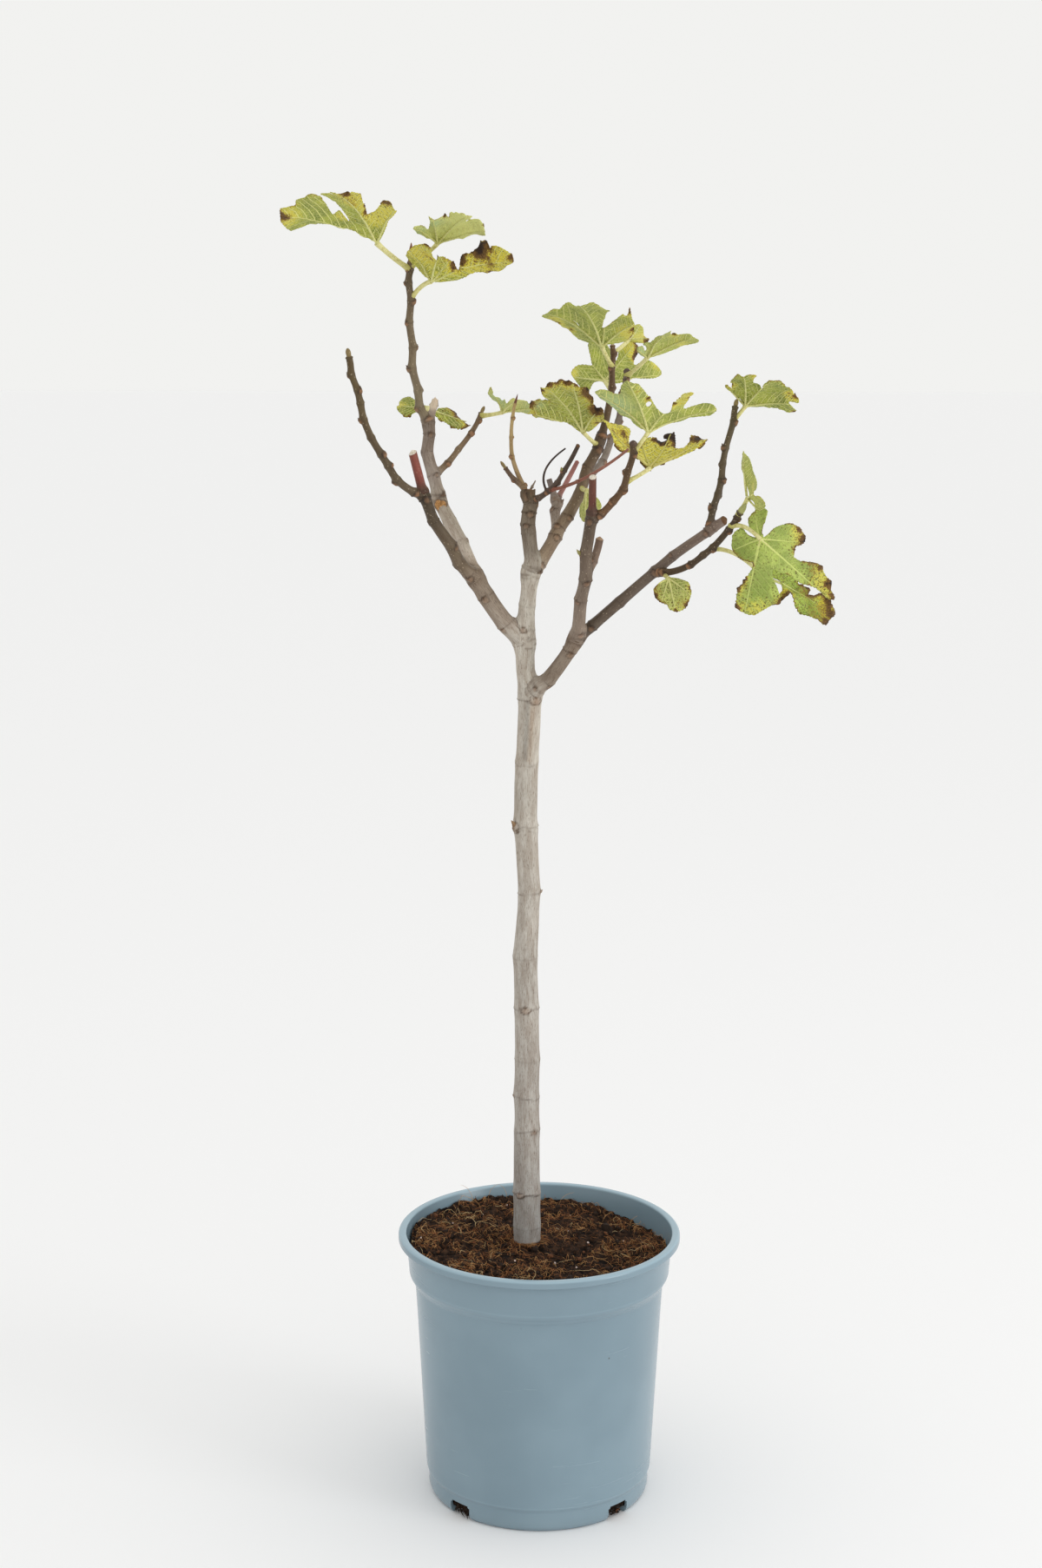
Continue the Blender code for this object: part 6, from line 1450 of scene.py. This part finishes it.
# ---------------------------------------------------------------------- soil
def soil_material(name, dark, light, rust):
    g = Graph(name, 0.96, 0.12)
    where = g.node("TexCoord").outputs["Object"]
    painted_gap_shade = g.at("painted_gap_shade")
    clump = g.noise(where, 150.0, 4.0, 0.7)
    crumb = g.noise(where, 620.0, 4.0, 0.7)
    thread = g.noise(g.node("Mapping", {"Vector": where, "Scale": (900, 260, 500), "Rotation": (0.4, 0.2, 0.9)}).outputs[0], 1.0, 3.0, 0.6)
    colour = g.mix(g.ramp(clump, 0.38, 0.66), linear(*dark), linear(*light))
    colour = g.mix(g.sum("MULTIPLY", g.ramp(thread, 0.56, 0.70), 0.65), colour, linear(*rust))
    colour = g.mix(g.sum("MULTIPLY", g.ramp(crumb, 0.30, 0.46, 1.0, 0.0), 0.7), colour, linear(14, 9, 7))
    # painted shade in the gaps between clods
    colour = g.mix(g.sum("MULTIPLY", painted_gap_shade, 0.9, clamp=True), colour, linear(9, 6, 5))
    return g.finish(colour, None, g.sum("ADD", clump, crumb), 0.0012, 0.9)


PEAT = soil_material("peat", (25, 17, 13), (70, 50, 37), (126, 82, 50))


def clods(x, y):
    """Rounded clods of peat with gaps between them, about 7 mm across."""
    flat = np.stack([x, y, 0 * x], 1)
    ridge = 1.0 - 2.2 * np.abs(noise(flat, 8.0, 4))
    small = 1.0 - 2.0 * np.abs(noise(flat, 3.8, 5))
    return 1.5 * ridge + 0.9 * small


def soil_height(x, y):
    heap = SOIL_LEVEL - SOIL_HEAP * x / RIM_BORE + 1.5 * np.sin(9 * y / RIM_BORE)
    heap += 4.2 * smooth(-0.2, 1.0, (y - x) / 150.0) - 1.2 * smooth(0.2, 1.0, (x + y) / 150.0)
    heap += 1.0 * np.sin(0.070 * x + 1.0) * np.cos(0.085 * y + 0.4)
    away = np.hypot(x - TRUNK_FOOT[0], y - TRUNK_FOOT[1])
    heap += (SOIL_PAD - 1.2 - np.minimum(heap, SOIL_PAD)) * (1 - smooth(14.0, 34.0, away)) * 0.8
    flat = np.stack([x, y, 0 * x], 1)
    lumps = 1.5 * noise(flat, 15.0, 3) + clods(x, y) - 0.7 + 0.45 * noise(flat, 1.9, 6)
    return heap + lumps * smooth(8.0, 15.0, away) + 0.6 * noise(flat, 2.4, 7)


def build_soil():
    edge = inner_radius(SOIL_LEVEL - 8) - 0.3
    step = 1.7
    line = np.arange(-edge, edge, step)
    grid = np.array([(x + (step / 2 if j % 2 else 0), y * 0.9) for j, y in enumerate(line * 1.15) for x in line])
    grid3 = np.concatenate([grid, np.zeros((len(grid), 1))], 1)
    grid = grid + 0.35 * np.stack([noise(grid3, 1.3, 1), noise(grid3, 1.3, 2)], 1)
    grid = grid[np.hypot(grid[:, 0], grid[:, 1]) < edge - 0.9]
    n = 420
    turns = np.arange(n) * 2 * math.pi / n
    rim = np.stack([np.cos(turns), np.sin(turns)], 1) * edge
    places = np.concatenate([rim, grid])
    cut = geometry.delaunay_2d_cdt([Vector(p) for p in places], [(i, (i + 1) % n) for i in range(n)], [], 0, 1e-4)
    xy = np.array([tuple(v) for v in cut[0]])
    tris = [tuple(f) for f in cut[2] if len(f) == 3]
    points = np.concatenate([xy, soil_height(xy[:, 0], xy[:, 1])[:, None]], 1)
    shape = Shape()
    # the gaps between clods carry painted shade
    shape.add(points, tris, 0, {"painted_gap_shade": smooth(0.75, -0.55, clods(xy[:, 0], xy[:, 1]))})
    # the sides and foot, seen only through the drain slots
    below = [(inner_radius(COLLAR_STEP_Z + 4) - 0.6, COLLAR_STEP_Z + 3.6), (inner_radius(COLLAR_STEP_Z - 6) - 0.6, COLLAR_STEP_Z - 2.6),
             (inner_radius(FOOT_STEP_Z + 4) - 0.6, FOOT_STEP_Z + 3.6), (inner_radius(18) - 0.6, FOOT_STEP_Z - 1.6),
             (inner_radius(6) - 1.6, 12.0), (inner_radius(6) - 2.4, 7.8), (FOOT_RADIUS - WALL - 3.4, FLOOR_THICK + 0.3), (2.0, FLOOR_THICK + 0.3)]
    rows = [points[:n]]
    for r, z in below:
        row = np.concatenate([rim / edge * r, np.full((n, 1), z)], 1)
        if z < 15:
            row += 0.7 * unit(row * (1, 1, 0)) * noise(row, 3.0, 8)[:, None]
        rows.append(row)
    faces = []
    for i in range(len(rows) - 1):
        faces += [(i * n + (k + 1) % n, i * n + k, (i + 1) * n + k, (i + 1) * n + (k + 1) % n) for k in range(n)]
    faces.append(tuple(range((len(rows) - 1) * n + n - 1, (len(rows) - 1) * n - 1, -1)))
    shape.add(np.concatenate(rows), faces)
    obj = shape.build("peat_soil", [PEAT], ["soil"])
    work = bmesh.new()
    work.from_mesh(obj.data)
    bmesh.ops.remove_doubles(work, verts=work.verts, dist=0.00001)
    bmesh.ops.recalc_face_normals(work, faces=work.faces)
    work.to_mesh(obj.data)
    work.free()
    return obj


build_soil()


def plain(name, colour, roughness=0.85):
    g = Graph(name, roughness, 0.3)
    where = g.node("TexCoord").outputs["Object"]
    vary = g.noise(where, 300.0, 2.0, 0.5)
    return g.finish(g.mix(g.ramp(vary, 0.3, 0.7), tuple(c * 0.85 for c in linear(*colour)), linear(*colour)))


FIBRES = [plain("coir_dark", (108, 68, 42)), plain("coir_rust", (174, 116, 70)), plain("coir_tan", (210, 162, 106)), plain("straw", (214, 186, 138))]


def build_fibres():
    """Coir and straw lying on the peat, a few ends standing up."""
    rng = np.random.default_rng(41)
    shape = Shape()
    edge = inner_radius(SOIL_LEVEL) - 2.0
    tried = rng.uniform(0, 1, (5200, 2))
    spots = np.stack([np.sqrt(tried[:, 1]) * edge * np.cos(2 * math.pi * tried[:, 0]), np.sqrt(tried[:, 1]) * edge * np.sin(2 * math.pi * tried[:, 0])], 1)
    tufted = noise(np.concatenate([spots, np.zeros((len(spots), 1))], 1), 15.0, 21)
    away = np.hypot(spots[:, 0] - TRUNK_FOOT[0], spots[:, 1] - TRUNK_FOOT[1])
    spots = spots[(away > 14.5) & (rng.uniform(0, 1, len(spots)) < 0.55 + 1.3 * tufted)][:3300]
    steps = 6
    for x, y in spots:
        kind = int(rng.choice(4, p=[0.26, 0.44, 0.28, 0.02]))
        long = min(rng.lognormal(2.15, 0.38) * (1.9 if kind == 3 else 1.0), 34.0)
        heading = rng.uniform(0, 2 * math.pi)
        bend = rng.normal(0, 1.5) / steps * (1.6 if kind == 3 else 1.0)
        lift = abs(rng.normal(0, 1.4)) + (3.0 if rng.uniform() < 0.07 else 0.0)
        tilt = rng.uniform(-0.4, 0.9) if rng.uniform() < 0.35 else 0.0
        path = []
        px, py = x, y
        for k in range(steps):
            t = k / (steps - 1)
            path.append((px, py, lift * math.sin(math.pi * t) + tilt * long * 0.20 * t))
            heading += bend + rng.normal(0, 0.13)
            px, py = px + math.cos(heading) * long / steps, py + math.sin(heading) * long / steps
        path = np.array(path)
        r = np.hypot(path[:, 0], path[:, 1])
        if (r > edge).any():
            path[:, :2] *= (np.minimum(r, edge) / r)[:, None]
        path[:, 2] += soil_height(path[:, 0], path[:, 1]) + 0.30
        size = rng.uniform(0.11, 0.21) * (1.7 if kind == 3 else 1.0)
        fibre(shape, path, size, kind)
    # tufts against the foot of the stem
    for k in range(150):
        turn, out = rng.uniform(0, 2 * math.pi), rng.uniform(12.8, 17.5)
        start = np.array([TRUNK_FOOT[0] + out * math.cos(turn), TRUNK_FOOT[1] + out * math.sin(turn)])
        heading, long = rng.uniform(0, 2 * math.pi), rng.uniform(4, 11)
        t = np.linspace(0, 1, 6)[:, None]
        flat = start + long * t * np.array([math.cos(heading), math.sin(heading)])
        gap = flat - np.array(TRUNK_FOOT[:2])
        near = np.linalg.norm(gap, axis=1)[:, None]
        flat = np.array(TRUNK_FOOT[:2]) + gap / near * np.maximum(near, 12.5)
        up = np.full(6, TRUNK_FOOT[2]) * 0.35 + soil_height(flat[:, 0], flat[:, 1]) * 0.65 + 0.3
        path = np.stack([flat[:, 0], flat[:, 1], np.maximum(up, TRUNK_FOOT[2] - 0.2) + rng.uniform(0, 2.2) * np.sin(math.pi * t[:, 0])], 1)
        fibre(shape, path, rng.uniform(0.10, 0.18), int(rng.choice([0, 1, 1, 2])))
    # long straws and curls that stand out, and hairs by the rim
    rows = [((-62, -62), (8, 10), 26, 2.4, 3), ((-66, -70), (-6, 14), 24, 3.2, 3), ((-58, -72), (14, 2), 22, -3.0, 3),
            ((-24, 30), (8, -32), 34, 0.3, 2), ((-40, -18), (-12, -22), 26, 0.7, 3), ((30, -62), (22, -4), 34, 0.2, 3),
            ((12, -46), (6, -24), 22, 0.5, 2), ((-10, -88), (20, 14), 26, 1.5, 3), ((40, -30), (12, 12), 26, -0.9, 2),
            ((66, -44), (-4, 26), 30, 0.8, 2), ((-80, 4), (14, 4), 30, 0.4, 2), ((-58, 34), (16, 18), 26, -0.5, 2)]
    for (x, y), way, long, bend, kind in rows:
        heading = math.atan2(way[1], way[0])
        path, steps = [], 12
        for k in range(steps):
            path.append((x, y, 1.6 * math.sin(math.pi * k / (steps - 1))))
            heading += bend / steps
            x, y = x + math.cos(heading) * long / steps, y + math.sin(heading) * long / steps
        path = np.array(path)
        path[:, 2] += soil_height(path[:, 0], path[:, 1]) + 0.7
        fibre(shape, path, 0.21, kind)
    for x, y, lean, tall in ((-62, 88, -12, 19), (-48, 96, 10, 16), (-30, 102, -8, 14), (-76, 70, 6, 15), (-55, 80, -20, 13),
                             (84, 42, 8, 15), (78, 48, -5, 12), (88, 34, 4, 11), (60, 70, 12, 12), (20, 98, 14, 12), (98, -6, -4, 9)):
        t = np.linspace(0, 1, 7)
        path = np.stack([x + lean * t ** 2, y + 3 * t, soil_height(np.array([x]), np.array([y]))[0] + tall * np.sin(t * 1.4)], 1)
        r = np.hypot(path[:, 0], path[:, 1])
        path[:, :2] *= (np.minimum(r, 117.0) / r)[:, None]
        fibre(shape, path, 0.17, 2)
    shape.build("coir_fibres", FIBRES, None)


def fibre(shape, path, size, kind):
    tangent = unit(np.gradient(path, axis=0))
    side = unit(np.cross(tangent, (0.1, 0.2, 1.0)))
    other = np.cross(tangent, side)
    n = len(path)
    radii = size * np.sin(np.linspace(0.35, math.pi - 0.35, n)) ** 0.6
    points = []
    for k in range(3):
        turn = 2 * math.pi * k / 3
        points.append(path + (side * math.cos(turn) + other * math.sin(turn)) * radii[:, None])
    points = np.stack(points, 1).reshape(-1, 3)
    faces = [(i * 3 + j, i * 3 + (j + 1) % 3, (i + 1) * 3 + (j + 1) % 3, (i + 1) * 3 + j) for i in range(n - 1) for j in range(3)]
    faces += [(n * 3 - 3, n * 3 - 2, n * 3 - 1), (2, 1, 0)]
    shape.add(points, faces, kind)


build_fibres()


def lump(shape, at, size, rng, kind, subdivisions=1):
    """One rough crumb."""
    work = bmesh.new()
    bmesh.ops.create_icosphere(work, subdivisions=subdivisions, radius=1.0)
    stretch = rng.uniform(0.6, 1.3, 3) * (1, 1, 0.75)
    spin = Matrix.Rotation(rng.uniform(0, 6.28), 3, Vector(rng.normal(size=3)).normalized())
    points = []
    for v in work.verts:
        p = np.array(v.co) * stretch * size * rng.uniform(0.78, 1.18)
        points.append(np.array(spin @ Vector(p)) + at)
    faces = [tuple(v.index for v in f.verts) for f in work.faces]
    work.free()
    shape.add(points, faces, kind)


CRUMB = plain("peat_crumb", (44, 31, 23), 0.96)


def build_crumbs():
    rng = np.random.default_rng(7)
    shape = Shape()
    edge = inner_radius(SOIL_LEVEL) - 2.5
    for index in range(900):
        turn, out = rng.uniform(0, 2 * math.pi), math.sqrt(rng.uniform(0, 1)) * edge
        x, y = out * math.cos(turn), out * math.sin(turn)
        if math.hypot(x - TRUNK_FOOT[0], y - TRUNK_FOOT[1]) < 15:
            continue
        size = rng.lognormal(0.20, 0.48)
        z = soil_height(np.array([x]), np.array([y]))[0] + size * 0.25
        lump(shape, np.array([x, y, z]), size, rng, 0 if rng.uniform() < 0.8 else 1)
    shape.build("peat_crumbs", [CRUMB, FIBRES[0]], None, smooth_shade=False)
    shape = Shape()
    for x, y in ((-80, 40), (-108, -6), (18, 41), (27, 31), (45, 11), (14, -42), (-22, -46), (33, -56), (44, -48),
                 (64, 52), (-52, 66), (30, 84), (-30, 90), (78, 20)):
        size = rng.uniform(0.75, 1.25)
        z = soil_height(np.array([float(x)]), np.array([float(y)]))[0] + size * 0.6
        lump(shape, np.array([x, y, z]), size, rng, 0, 2)
    shape.build("perlite_bits", [plain("perlite", (226, 204, 194), 0.8)], None, smooth_shade=False)
    # roots and peat showing in the drain slots
    shape = Shape()
    for index in range(4):
        turn = math.radians(45 + 90 * index)
        out, along = np.array([math.cos(turn), math.sin(turn), 0.0]), np.array([-math.sin(turn), math.cos(turn), 0.0])
        for k in range(9):
            start = out * rng.uniform(94, 97) + along * rng.uniform(-10, 10) + (0, 0, rng.uniform(5, 12))
            end = out * rng.uniform(95, 101.5) + along * rng.uniform(-11, 11) + (0, 0, rng.uniform(0.6, 9))
            t = np.linspace(0, 1, 7)[:, None]
            path = start * (1 - t) + end * t + out * 1.2 * np.sin(math.pi * t) + (0, 0, 0.3)
            fibre(shape, path, rng.uniform(0.25, 0.5), int(rng.choice([0, 2, 2])))
        for k in range(70):
            at = out * rng.uniform(93.5, 98.0) + along * rng.uniform(-11.3, 11.3) + (0, 0, rng.uniform(1.9, 12.0))
            lump(shape, at, rng.uniform(0.9, 2.1), rng, 2)
    shape.build("slot_roots", [FIBRES[0], FIBRES[1], CRUMB], None, smooth_shade=False)


build_crumbs()

# --------------------------------------------------------- stage, light, camera
floor_mesh = bpy.data.meshes.new("studio_floor")
floor_mesh.from_pydata([(-30, -30, 0), (30, -30, 0), (30, 30, 0), (-30, 30, 0)], [], [(0, 1, 2, 3)])
g = Graph("studio_floor", 0.75, 0.25)
floor_mesh.materials.append(g.finish(linear(246, 246, 247)))
floor = bpy.data.objects.new("studio_floor", floor_mesh)
floor.location.z = -0.0004
bpy.context.scene.collection.objects.link(floor)

scene = bpy.context.scene
world = bpy.data.worlds.new("studio")
scene.world = world
world.use_nodes = True
world.node_tree.nodes["Background"].inputs["Color"].default_value = (*linear(244, 244, 242), 1.0)
world.node_tree.nodes["Background"].inputs["Strength"].default_value = 0.98


def softbox(name, at, aim, size, power, colour=(1, 1, 1)):
    data = bpy.data.lights.new(name, "AREA")
    data.shape, data.size, data.size_y = "RECTANGLE", size[0], size[1]
    data.energy, data.color = power, colour
    lamp = bpy.data.objects.new(name, data)
    lamp.location = at
    lamp.rotation_euler = (Vector(aim) - Vector(at)).to_track_quat("-Z", "Y").to_euler()
    scene.collection.objects.link(lamp)
    return lamp


softbox("key", (3.0, -1.6, 1.1), (0, 0, 0.65), (1.2, 1.5), 26)
# a broad even light from the upper right, the same over the whole floor
data = bpy.data.lights.new("ceiling", "SUN")
data.energy, data.angle, data.color = 0.26, math.radians(70), (1.0, 0.995, 0.985)
lamp = bpy.data.objects.new("ceiling", data)
lamp.rotation_euler = Vector((0.7, -0.45, 1.0)).to_track_quat("Z", "Y").to_euler()
scene.collection.objects.link(lamp)

camera = bpy.data.cameras.new("camera")
camera.sensor_fit, camera.sensor_width, camera.lens = "AUTO", 36.0, 36.0 * 2900.0 / 1805.0
camera.clip_start, camera.clip_end = 0.05, 50.0
viewer = bpy.data.objects.new("camera", camera)
viewer.matrix_world = (Matrix.Translation((-0.01744, -2.1861, 1.0770)) @ Matrix.Rotation(math.pi / 2 - 0.188, 4, "X")
                       @ Matrix.Rotation(0.002, 4, "Z"))
scene.collection.objects.link(viewer)
scene.camera = viewer
scene.view_settings.view_transform = "Standard"
scene.view_settings.look = "None"
scene.view_settings.exposure = 0.0

bpy.context.view_layer.update()
